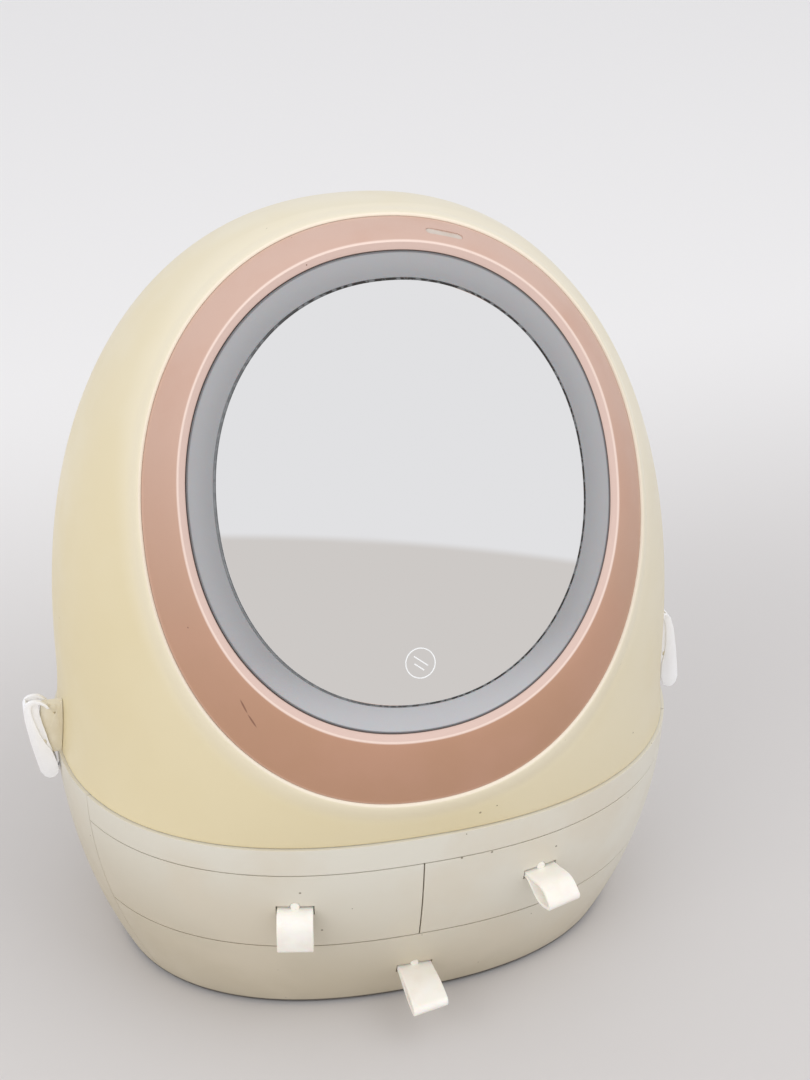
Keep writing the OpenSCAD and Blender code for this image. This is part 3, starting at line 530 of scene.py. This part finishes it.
def add_piece(name, skin, body, material, slot, replaces=(), bevel=0.4, segments=3, angle=35):
    """Makes a finished piece from a mesh in the case's frame, with its edges eased."""
    skin.transform(TO_SCENE)
    piece = to_object(name, skin)
    piece.data.materials.append(material)
    piece.data.shade_smooth()
    if bevel:
        eased = piece.modifiers.new("eased_edges", "BEVEL")
        eased.width = bevel * MM
        eased.segments = segments
        eased.limit_method = "ANGLE"
        eased.angle_limit = math.radians(angle)
        eased.harden_normals = True
    else:
        piece.data.set_sharp_from_angle(angle=math.radians(angle))
    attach(piece, body)
    if replaces:
        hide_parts(*replaces)


def eased_node(name, node, body, material, slot, bevel=0.4, angle=35):
    """A copy of a solid with its triangles merged to whole faces and its edges eased."""
    skin = bmesh.new()
    skin.from_mesh(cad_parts[node].data)
    bmesh.ops.remove_doubles(skin, verts=skin.verts[:], dist=1e-6)
    bmesh.ops.dissolve_limit(
        skin, angle_limit=math.radians(0.5), verts=skin.verts[:], edges=skin.edges[:],
    )
    skin.transform(TO_SCENE.inverted())
    add_piece(name, skin, body, material, slot, [node], bevel, segments=2, angle=angle)


# ------------------------------------------------------------------ base


def bowl(foot, rim, z):
    """Width or depth of the bowl at a height, which opens fastest at the foot and is upright at the rim."""
    return foot + (rim - foot) * (1 - (1 - z / RIM_Z) ** 2)


def base_a(z):
    return bowl(FOOT_W, RIM_W, z) / 2


def base_b(z):
    return bowl(FOOT_D, RIM_D, z) / 2


def front_y(x, z):
    """How far forward the front of the base lies."""
    return -base_b(z) * (1 - (abs(x) / base_a(z)) ** PLAN_POWER) ** (1 / PLAN_POWER)


def climb(inset, low, high, spacing=4):
    """Profile points up or down the bowl's wall, about spacing apart."""
    steps = max(1, round(abs(high - low) / spacing))
    return [(inset, low + (high - low) * k / steps) for k in range(steps + 1)]


def bowl_ring(profile, count=240):
    """A closed wall round the bowl, through profile points of inset and height."""
    def place(step, turn):
        inset, z = profile[step]
        x, y = superellipse(base_a(z) - inset, base_b(z) - inset, PLAN_POWER, turn)
        return x, y, z
    return draw_out(count, len(profile), place, closed=True)


def ledge_steps(top):
    """Profile points of a ledge that runs round the inside of the bowl."""
    return [(WALL, top), (LEDGE_IN, top), (LEDGE_IN, top - LEDGE_T), (WALL, top - LEDGE_T)]


LIP = [
    (LIP_IN, RIM_Z), (LIP_IN, RIM_Z + LIP_H), (LIP_IN + LIP_T, RIM_Z + LIP_H),
    (LIP_IN + LIP_T, RIM_Z - LIP_H), (WALL, RIM_Z - LIP_H),
]


def make_base_shell():
    """The bowl's sides and back, with the lip under the hood and three ledges inside."""
    plate_ledge = PLATE_TOP + LEDGE_T
    profile = climb(0, SHELL_Z, RIM_Z) + LIP + ledge_steps(BAND_Z + LEDGE_T)
    profile += climb(WALL, BAND_Z, SHELF_Z, 8)[1:-1] + ledge_steps(SHELF_Z)
    profile += climb(WALL, SHELF_Z - LEDGE_T, plate_ledge, 8)[1:-1] + ledge_steps(plate_ledge)
    profile += [(WALL, SHELL_Z)]
    skin = bowl_ring(profile)
    cut_off(skin, (0, -SEAM_Y + SEAM_GAP / 2, 0), (0, -1, 0))
    add_piece("base_walls", skin, "base", BASE_ABS, "base_plastic", ["base_shell"])


def make_front_band():
    """The strip of the bowl above the drawers, which never opens."""
    profile = climb(0, BAND_Z, RIM_Z) + LIP + [
        (WALL, BAND_Z + LEDGE_T), (LEDGE_IN, BAND_Z + LEDGE_T), (LEDGE_IN, BAND_Z),
    ]
    skin = bowl_ring(profile)
    cut_off(skin, (0, -SEAM_Y - SEAM_GAP / 2, 0), (0, 1, 0))
    add_piece("rim_band", skin, "base", BASE_ABS, "base_plastic", ["front_band"])


def slot_frame(x, z):
    """Frame at a slot, square to the front of the base."""
    share, flat = abs(x) / base_a(z), base_b(z) / base_a(z)
    slope = flat * share ** (PLAN_POWER - 1) * (1 - share ** PLAN_POWER) ** (1 / PLAN_POWER - 1)
    turn = math.copysign(math.atan(slope), x)
    return Matrix.Translation((x, front_y(x, z), z)) @ Matrix.Rotation(turn, 4, "Z")


def make_rod(x, z, radius, length, back, up):
    """A round rod square to the front of the base, back from a slot's middle and up from it."""
    rod = bmesh.new()
    bmesh.ops.create_cone(
        rod, cap_ends=True, segments=32, radius1=radius, radius2=radius, depth=length,
        matrix=slot_frame(x, z) @ Matrix.Translation((0, back, up)) @ Matrix.Rotation(math.pi / 2, 4, "X"),
    )
    return rod


def slot_cutter(x, z):
    """Slot for a strap, with a round notch at the middle of its top for the strap's peg."""
    box = bmesh.new()
    bmesh.ops.create_cube(box, size=1)
    bmesh.ops.scale(box, vec=(STRAP_W + SLOT_GAP, SLOT_CUT, SLOT_H), verts=box.verts[:])
    box.transform(slot_frame(x, z) @ Matrix.Translation((0, CUT_BACK, 0)))
    notch = make_rod(x, z, PEG_R + PEG_GAP, NOTCH_CUT, CUT_BACK, SLOT_H / 2)
    return carve(box, notch, "UNION")


def make_drawer_front(drawer, low, high, side, slot_place):
    """A drawer's piece of the bowl: side is -1 or 1 for half the width, 0 for all of it."""
    profile = climb(0, low, high) + climb(WALL, high, low, 8)
    skin = bowl_ring(profile)
    cut_off(skin, (0, -SEAM_Y - GAP / 2, 0), (0, 1, 0))
    if side:
        cut_off(skin, (side * GAP / 2, 0, 0), (-side, 0, 0))
    skin = carve(skin, slot_cutter(*slot_place))
    add_piece(
        f"{drawer}_front_skin", skin, f"{drawer}_drawer", BASE_ABS, "base_plastic",
        [f"{drawer}_drawer_front"], bevel=0.45,
    )


def make_base():
    make_base_shell()
    make_front_band()
    for drawer, side in (("left", -1), ("right", 1)):
        make_drawer_front(drawer, SPLIT_Z + GAP / 2, BAND_Z - GAP, side, (side * PULL_X, UPPER_SLOT_Z))
    make_drawer_front("lower", SHELL_Z, SPLIT_Z - GAP / 2, 0, (0, LOWER_SLOT_Z))
    eased_node("organiser", "organiser_tray", "base", TRAY_PLASTIC, "tray_plastic", 0.5)
    eased_node("deck", "top_deck", "base", TRAY_PLASTIC, "tray_plastic")
    eased_node("shelf", "middle_shelf", "base", TRAY_PLASTIC, "tray_plastic")
    eased_node("floor_plate", "bottom_plate", "base", BASE_ABS, "base_plastic", 0.3)
    eased_node("divider", "centre_divider", "base", TRAY_PLASTIC, "tray_plastic")
    eased_node("runners", "drawer_runners", "base", TRAY_PLASTIC, "tray_plastic", 0.3)
    eased_node("rubber_feet", "feet", "base", RUBBER, "foot_rubber", 0.2)
    for side in ("left", "right"):
        eased_node(f"{side}_catch_hook", f"{side}_catch", "base", LATCH_WHITE, "latch_plastic", 0.3)
    for drawer in ("left_drawer", "right_drawer", "lower_drawer"):
        name = drawer.replace("drawer", "tray_box")
        eased_node(name, f"{drawer}_tray", drawer, TRAY_PLASTIC, "tray_plastic")


# ------------------------------------------------------------------ pull straps


def strap_line(s, droop):
    """Middle of a strap's loop at length s: forward, up and the angle below the horizontal."""
    bend = STRAP_BEND * droop
    angle = 0 if s < STRAP_OUT else min(droop, (s - STRAP_OUT) / STRAP_BEND)
    rest = max(0, s - STRAP_OUT - bend)
    forward = min(s, STRAP_OUT) + STRAP_BEND * math.sin(angle) + rest * math.cos(angle)
    up = -STRAP_BEND * (1 - math.cos(angle)) - rest * math.sin(angle)
    return forward, up, angle


def leaf_path(length, droop, opening):
    """Middle of the band's thickness: out along the upper leaf, round the fold and back along the lower."""
    total = PIN_DEPTH + length
    start, end = LEAF_START, total - STRAP_T / 2
    points = []
    for side, order in ((1, range(LEAF_STEPS + 1)), (-1, range(LEAF_STEPS - 1, -1, -1))):
        for k in order:
            s = start + (end - start) * math.sin(math.pi / 2 * k / LEAF_STEPS)
            forward, up, angle = strap_line(s, droop)
            u = min(1, max(0, (s - PIN_DEPTH - OPEN_FROM) / (length - STRAP_T - OPEN_FROM)))
            gap = STRAP_FOLD * u + opening * math.sin(math.pi * u ** OPEN_LATE) ** OPEN_NARROW if u else 0
            fold = STRAP_T / 2 + STRAP_FOLD
            near_end = max(0, s - end + fold) / fold
            half = side * (STRAP_T / 2 + gap) * math.sqrt(max(0, 1 - near_end ** 2))
            points.append((forward + half * math.sin(angle), up + half * math.cos(angle)))
    return points


def make_strap(drawer, x, z, length, droop, opening, twist):
    """A band out through the slot and back, with its peg: droop and twist are in degrees."""
    path = leaf_path(length, math.radians(droop), opening)

    def place(step, turn):
        before, after = path[max(0, step - 1)], path[min(len(path) - 1, step + 1)]
        way = Vector((after[0] - before[0], after[1] - before[1])).normalized()
        # A little off the axes, where copysign couldn't tell a point's side
        c, s = math.cos(turn + OFF_AXIS), math.sin(turn + OFF_AXIS)
        across = math.copysign(STRAP_W / 2 - STRAP_ROUND, c) + STRAP_ROUND * c
        out = math.copysign(STRAP_T / 2 - STRAP_ROUND, s) + STRAP_ROUND * s
        forward, up = path[step][0] - way.y * out, path[step][1] + way.x * out
        share = min(1, max(0, (forward - PIN_DEPTH - TWIST_FROM) / (length - TWIST_FROM)))
        return across, PIN_DEPTH - forward, up + across * math.sin(math.radians(twist) * share)

    skin = draw_out(20, len(path), place)
    bmesh.ops.holes_fill(skin, edges=skin.edges[:])
    skin.transform(slot_frame(x, z))
    peg = make_rod(x, z, PEG_R, PEG_LONG, PEG_BACK, SLOT_H / 2 + PEG_UP)
    name, body = f"{drawer}_strap", f"{drawer}_drawer"
    add_piece(name, skin, body, SILICONE, "strap_rubber", [f"{drawer}_pull_strap"], bevel=0, angle=60)
    add_piece(name + "_peg", peg, body, SILICONE, "strap_rubber", bevel=0.5)


def make_straps():
    """The left strap hangs, the right one stands open, and the lower one is pressed flat and twisted."""
    make_strap("left", -PULL_X, UPPER_SLOT_Z, length=22, droop=90, opening=1, twist=0)
    make_strap("right", PULL_X, UPPER_SLOT_Z, length=22, droop=12, opening=3.1, twist=4)
    make_strap("lower", 0, LOWER_SLOT_Z, length=30, droop=1, opening=1.1, twist=12)


# ------------------------------------------------------------------ hood


def bell(foot, waist, z):
    """Half the egg's width or depth at a height: it stands upright at the waist and closes over the top."""
    if z < WAIST_Z:
        return foot + (waist - foot) * (1 - (1 - (z - RIM_Z) / (WAIST_Z - RIM_Z)) ** 2)
    return waist * max(0, 1 - ((z - WAIST_Z) / (HOOD_TOP - WAIST_Z)) ** BELL_POWER) ** (1 / BELL_ROUND)


def hood_a(z):
    return bell(RIM_W / 2 - RIM_LEDGE, WAIST_W / 2, z)


def hood_b(z):
    return bell(RIM_D / 2 - RIM_LEDGE, WAIST_D / 2, z)


def rise(z):
    """How far up the hood a height is, from 0 at the rim to 1 at the top."""
    return (z - RIM_Z) / (HOOD_TOP - RIM_Z)


def hood_y(z):
    return -LEAN * rise(z) ** 2


def hood_power(z):
    return PLAN_POWER + (TOP_POWER - PLAN_POWER) * rise(z)


def outside(point, wall=0):
    """Whether a point is outside the egg, or outside its inner skin when wall is its thickness."""
    x, y, z = point
    z = RIM_Z + (z - RIM_Z) / (1 - wall / (HOOD_TOP - RIM_Z))
    if z >= HOOD_TOP:
        return True
    a, b = hood_a(z) * (1 - wall * 2 / WAIST_W), hood_b(z) * (1 - wall * 2 / WAIST_D)
    if a <= 0 or b <= 0:
        return True
    power = hood_power(z)
    return (abs(x) / a) ** power + (abs(y - hood_y(z)) / b) ** power > 1


def halve(low, high, is_past):
    """The place between low and high where is_past turns true."""
    for _ in range(26):
        middle = (low + high) / 2
        if is_past(middle):
            high = middle
        else:
            low = middle
    return low


def skin_depth(u, w, wall=0):
    """Depth at which a line square to the glass leaves the egg."""
    return halve(*DEPTH_REACH, lambda d: outside(from_mirror(u, w, d), wall))


def bead_height(t):
    """Height of the soft bead round the mirror's opening, t millimetres from its edge."""
    if t < BEAD_R:
        return BEAD_H * math.sqrt(1 - (1 - t / BEAD_R) ** 2)
    return BEAD_H * (1 + math.cos(math.pi * (t - BEAD_R) / (BEAD_W - BEAD_R))) / 2


def hood_ends(turn, wall):
    """Where the hood's skin starts at the edge of the mirror's opening and ends at the rim, for one turn."""
    u, w = superellipse(FRAME_A + FRAME_GAP, FRAME_B + FRAME_GAP, OVAL_POWER, turn)
    w -= FRAME_DROP
    edge = from_mirror(u, w, skin_depth(u, w, wall))
    a, b = hood_a(RIM_Z) * (1 - wall * 2 / WAIST_W), hood_b(RIM_Z) * (1 - wall * 2 / WAIST_D)
    x, y = superellipse(a, b, PLAN_POWER, turn)
    return edge, Vector((x, y, RIM_Z + HOOD_LIFT))


def make_hood():
    """The egg as one skin, drawn from the edge of the mirror's opening out and down to the rim."""
    ends = {}
    last_bead = len(BEAD_PLACES) - 1

    def place(step, turn):
        wall = 0 if step <= HOOD_STEPS else HOOD_WALL
        key = (round(turn, 4), wall)
        if key not in ends:
            ends[key] = hood_ends(turn, wall)
        edge, foot = ends[key]
        first, last = edge - HOOD_HEART, foot - HOOD_HEART
        lift = 0
        if wall:
            share = 1 - (step - HOOD_STEPS - 1) / HOOD_INNER_STEPS
        else:
            length = first.angle(last) * (first.length + last.length) / 2
            if step <= last_bead:
                share, lift = BEAD_PLACES[step] / length, bead_height(BEAD_PLACES[step])
            else:
                start = BEAD_W / length
                share = start + (1 - start) * (step - last_bead) / (HOOD_STEPS - last_bead)
        if share in (0, 1):
            return (edge, foot)[int(share)]
        way = first.normalized().slerp(last.normalized(), share)
        reach = halve(*HEART_REACH, lambda r: outside(HOOD_HEART + way * r, wall))
        return HOOD_HEART + way * (reach + lift)

    skin = draw_out(HOOD_COUNT, HOOD_STEPS + HOOD_INNER_STEPS + 2, place, closed=True)
    socket = bmesh.new()
    bmesh.ops.create_cube(socket, size=1)
    bmesh.ops.scale(socket, vec=(SOCKET_W, SOCKET_CUT, SOCKET_H), verts=socket.verts[:])
    bmesh.ops.translate(socket, vec=(0, SOCKET_Y, SOCKET_Z + SOCKET_H / 2), verts=socket.verts[:])
    skin = carve(skin, socket)
    add_piece("hood_skin", skin, "hood", HOOD_ABS, "hood_plastic", ["hood_shell", "hood_skirt"], bevel=0.3)


# ------------------------------------------------------------------ mirror and its frame


def oval_ring(name, section, material, slot, node, bevel, count=OVAL_COUNT, cutter=None):
    """A ring of the hood round the mirror, through section(turn) points of right, up and out."""
    steps = len(section(0.0))
    sections = {}

    def place(step, turn):
        key = round(turn, 5)
        if key not in sections:
            sections[key] = section(turn)
        return from_mirror(*sections[key][step])

    skin = draw_out(count, steps, place, closed=True)
    if cutter:
        skin = carve(skin, cutter)
    add_piece(name, skin, "hood", material, slot, [node], bevel)


def flat_section(a, b, width, low, high):
    """Section of a plain ring: width wide inwards from half-axes a and b, between two depths."""
    def section(turn):
        out = superellipse(a, b, OVAL_POWER, turn)
        inn = superellipse(a - width, b - width, OVAL_POWER, turn)
        return [(*inn, low), (*inn, high), (*out, high), (*out, low)]
    return section


def collar_section(turn):
    """The collar inside the hood that the mirror frame sits in, with its inward shelf."""
    inner = superellipse(FRAME_A + FRAME_GAP, FRAME_B + FRAME_GAP, OVAL_POWER, turn)
    outer = superellipse(FRAME_A + COLLAR_W, FRAME_B + COLLAR_W, OVAL_POWER, turn)
    shelf_in = COLLAR_SHELF - COLLAR_W
    shelf = superellipse(FRAME_A - shelf_in, FRAME_B - shelf_in, OVAL_POWER, turn)
    top = skin_depth(outer[0], outer[1] - FRAME_DROP) - COLLAR_TOP
    floor = -COLLAR_DEPTH
    points = [
        (inner, top), (outer, top), (outer, floor),
        (shelf, floor), (shelf, -FRAME_FLOOR), (inner, -FRAME_FLOOR),
    ]
    return [(flat[0], flat[1] - FRAME_DROP, depth) for flat, depth in points]


def frame_section(turn):
    """The pink frame: a small bevel by the light, a face that swells out to the egg, and a skirt."""
    inner = Vector(superellipse(LIGHT_A + LIGHT_GAP, LIGHT_B + LIGHT_GAP, OVAL_POWER, turn))
    crest = Vector(superellipse(LIGHT_A + BEVEL_W, LIGHT_B + BEVEL_W, OVAL_POWER, turn))
    drop = Vector((0, FRAME_DROP))
    rim = Vector(superellipse(FRAME_A, FRAME_B, OVAL_POWER, turn)) - drop
    back = Vector(superellipse(FRAME_A - FRAME_T, FRAME_B - FRAME_T, OVAL_POWER, turn)) - drop
    skin = skin_depth(*rim)
    points = [(inner, -BEVEL_T)]
    for k in range(FRAME_FACE_STEPS + 1):
        share = k / FRAME_FACE_STEPS
        points.append((crest.lerp(rim, share), skin * share ** FRAME_SWELL))
    points += [(rim, -FRAME_FLOOR), (back, -FRAME_FLOOR), (back, min(skin - FRAME_T, -FRAME_T))]
    points.append((inner, -BEVEL_T - FRAME_T))
    return [(flat.x, flat.y, depth) for flat, depth in points]


def insert_cutter():
    """Pill-shaped recess near the top of the frame."""
    pill = bmesh.new()
    bmesh.ops.create_circle(pill, cap_ends=True, segments=48, radius=INSERT_R)
    for vert in pill.verts:
        vert.co.x += math.copysign(INSERT_HALF, vert.co.x)
    grown = bmesh.ops.extrude_face_region(pill, geom=pill.faces[:])["geom"]
    top = [item for item in grown if isinstance(item, bmesh.types.BMVert)]
    bmesh.ops.translate(pill, vec=(0, 0, INSERT_DEPTH + INSERT_CUT), verts=top)
    bmesh.ops.recalc_face_normals(pill, faces=pill.faces[:])
    pill.transform(
        Matrix.Translation(from_mirror(*INSERT_PLACE))
        @ Matrix.Rotation(math.pi / 2 - MIRROR_TILT, 4, "X") @ Matrix.Rotation(INSERT_TURN, 4, "Z")
        @ Matrix.Rotation(-INSERT_LEAN, 4, "X") @ Matrix.Translation((0, 0, -INSERT_DEPTH))
    )
    return pill


def make_mirror():
    oval_ring(
        "pink_frame", frame_section, PINK, "frame_plastic", "mirror_frame", 0.35,
        count=256, cutter=insert_cutter(),
    )
    light_w = LIGHT_A - GLASS_A - SEAL_W
    light = flat_section(LIGHT_A, LIGHT_B, light_w, -LIGHT_STEP - LIGHT_T, -LIGHT_STEP)
    oval_ring("light_ring", light, DIFFUSER, "diffuser", "light_diffuser", 0.35)
    seal = flat_section(GLASS_A + SEAL_W, GLASS_B + SEAL_W, SEAL_W, -GLASS_T, -LIGHT_STEP)
    oval_ring("glass_seal", seal, SEAL, "seal", "mirror_seal", 0.2)
    oval_ring("hood_collar", collar_section, HOOD_ABS, "hood_plastic", "mirror_collar", 0.4, count=160)

    bevelled = ((1, -GLASS_T), (1, -GLASS_BEVEL), (1 - GLASS_BEVEL / GLASS_A, 0))

    def disc(step, turn):
        scale, depth = bevelled[step]
        return from_mirror(*superellipse(GLASS_A * scale, GLASS_B * scale, OVAL_POWER, turn), depth)

    skin = draw_out(OVAL_COUNT, len(bevelled), disc)
    bmesh.ops.holes_fill(skin, edges=skin.edges[:])
    add_piece("glass", skin, "hood", MIRROR, "mirror", ["mirror_glass"], bevel=0)


# ------------------------------------------------------------------ latches


def make_latches():
    for side in ("left", "right"):
        for name, node, body, material, slot in (
            ("lever_body", "latch_lever", f"{side}_latch", LATCH_WHITE, "latch_plastic"),
            ("mount", "latch_bracket", "hood", BRACKET, "bracket_plastic"),
            ("pivot", "latch_pin", "hood", BRACKET, "bracket_plastic"),
        ):
            eased_node(f"{side}_{name}", f"{side}_{node}", body, material, slot, bevel=0.3, angle=30)


# ------------------------------------------------------------------ nodes that keep their shape


def dress_nodes():
    """Gives each node that isn't redrawn its own material."""
    finishes = {
        STEEL: ["base_screws", "hood_screws", "left_strap_pin", "right_strap_pin", "lower_strap_pin"],
        INSERT: ["frame_insert"],
        MARK: ["touch_mark"],
        COPPER: ["touch_pad"],
        HOUSING: ["lamp_housing"],
        BOARD_WHITE: ["lamp_board"],
        PHOSPHOR: ["lamps"],
        BOARD_GREEN: ["control_board"],
        WRAP: ["battery_pack"],
        WIRE: ["charging_wire"],
        SOCKET: ["charging_socket"],
    }
    for material, names in finishes.items():
        for name in names:
            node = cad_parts[name]
            node.data.materials.clear()
            node.data.materials.append(material)


# ------------------------------------------------------------------ floor and light
# Metres

FLOOR_REACH = 3
LAMP_AIM = Vector((0, 0, 0.15))

# Where the room turns greyer, as the mirror shows it: a way and how far along it
ROOM_WAY = (0.0027, 0.827, 0.5622)
ROOM_LINE = -0.631


def make_floor():
    """A plain pale table top that turns white well behind the box."""
    plane = bmesh.new()
    bmesh.ops.create_grid(plane, x_segments=1, y_segments=1, size=FLOOR_REACH)
    floor = to_object("table_top", plane)
    material, tree, shader, place = new_material("pale_table_top", "#D2CFCE", Roughness=0.6)
    colour = fade(tree, place, "#D2CFCE", "#EFEEEE", (0, 1, 0), 0.1, 0.7)
    tree.links.new(colour, shader.inputs["Base Color"])
    floor.data.materials.append(material)
    floor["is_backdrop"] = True


def make_world():
    """Soft daylight; the mirror sees a pale room that is greyer low down."""
    world = bpy.data.worlds.new("studio")
    bpy.context.scene.world = world
    world.use_nodes = True
    tree = world.node_tree
    tree.nodes.clear()
    way = add(tree, "TexCoord").outputs["Generated"]
    seen = fade(tree, way, "#D8D3D0", "#EDECEE", ROOM_WAY, ROOM_LINE - 0.002, ROOM_LINE + 0.002)
    light = add(tree, "Background", {"Color": linear("#FDFDFF"), "Strength": 0.86})
    glossy = add(tree, "Background", {"Color": seen, "Strength": 1.0})
    backdrop = add(tree, "Background", {"Color": linear("#ECEBEA"), "Strength": 1.0})
    path = add(tree, "LightPath")
    with_gloss = add(tree, "MixShader", {
        0: path.outputs["Is Glossy Ray"], 1: light.outputs[0], 2: glossy.outputs[0],
    })
    whole = add(tree, "MixShader", {
        0: path.outputs["Is Camera Ray"], 1: with_gloss.outputs[0], 2: backdrop.outputs[0],
    })
    add(tree, "OutputWorld", {"Surface": whole.outputs[0]})


def make_lamp(name, place, size, power):
    """A soft square lamp aimed at the box, left out of reflections so that the mirror shows only the room."""
    data = bpy.data.lights.new(name, "AREA")
    data.energy = power
    data.size = size
    lamp = bpy.data.objects.new(name, data)
    bpy.context.scene.collection.objects.link(lamp)
    lamp.visible_glossy = False
    lamp.location = place
    lamp.rotation_euler = (LAMP_AIM - Vector(place)).to_track_quat("-Z", "Y").to_euler()


make_base()
make_straps()
make_hood()
make_mirror()
make_latches()
dress_nodes()
make_floor()
make_world()
make_lamp("window", (-1.5, -1.2, 1.3), size=1.4, power=11)
make_lamp("ceiling", (1, -0.9, 1.9), size=1.6, power=9)

bpy.context.scene.view_settings.view_transform = "Standard"

boxes = {"cad": cad_box, "visual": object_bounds()}
{name: [list(corner) for corner in box] for name, box in boxes.items()}
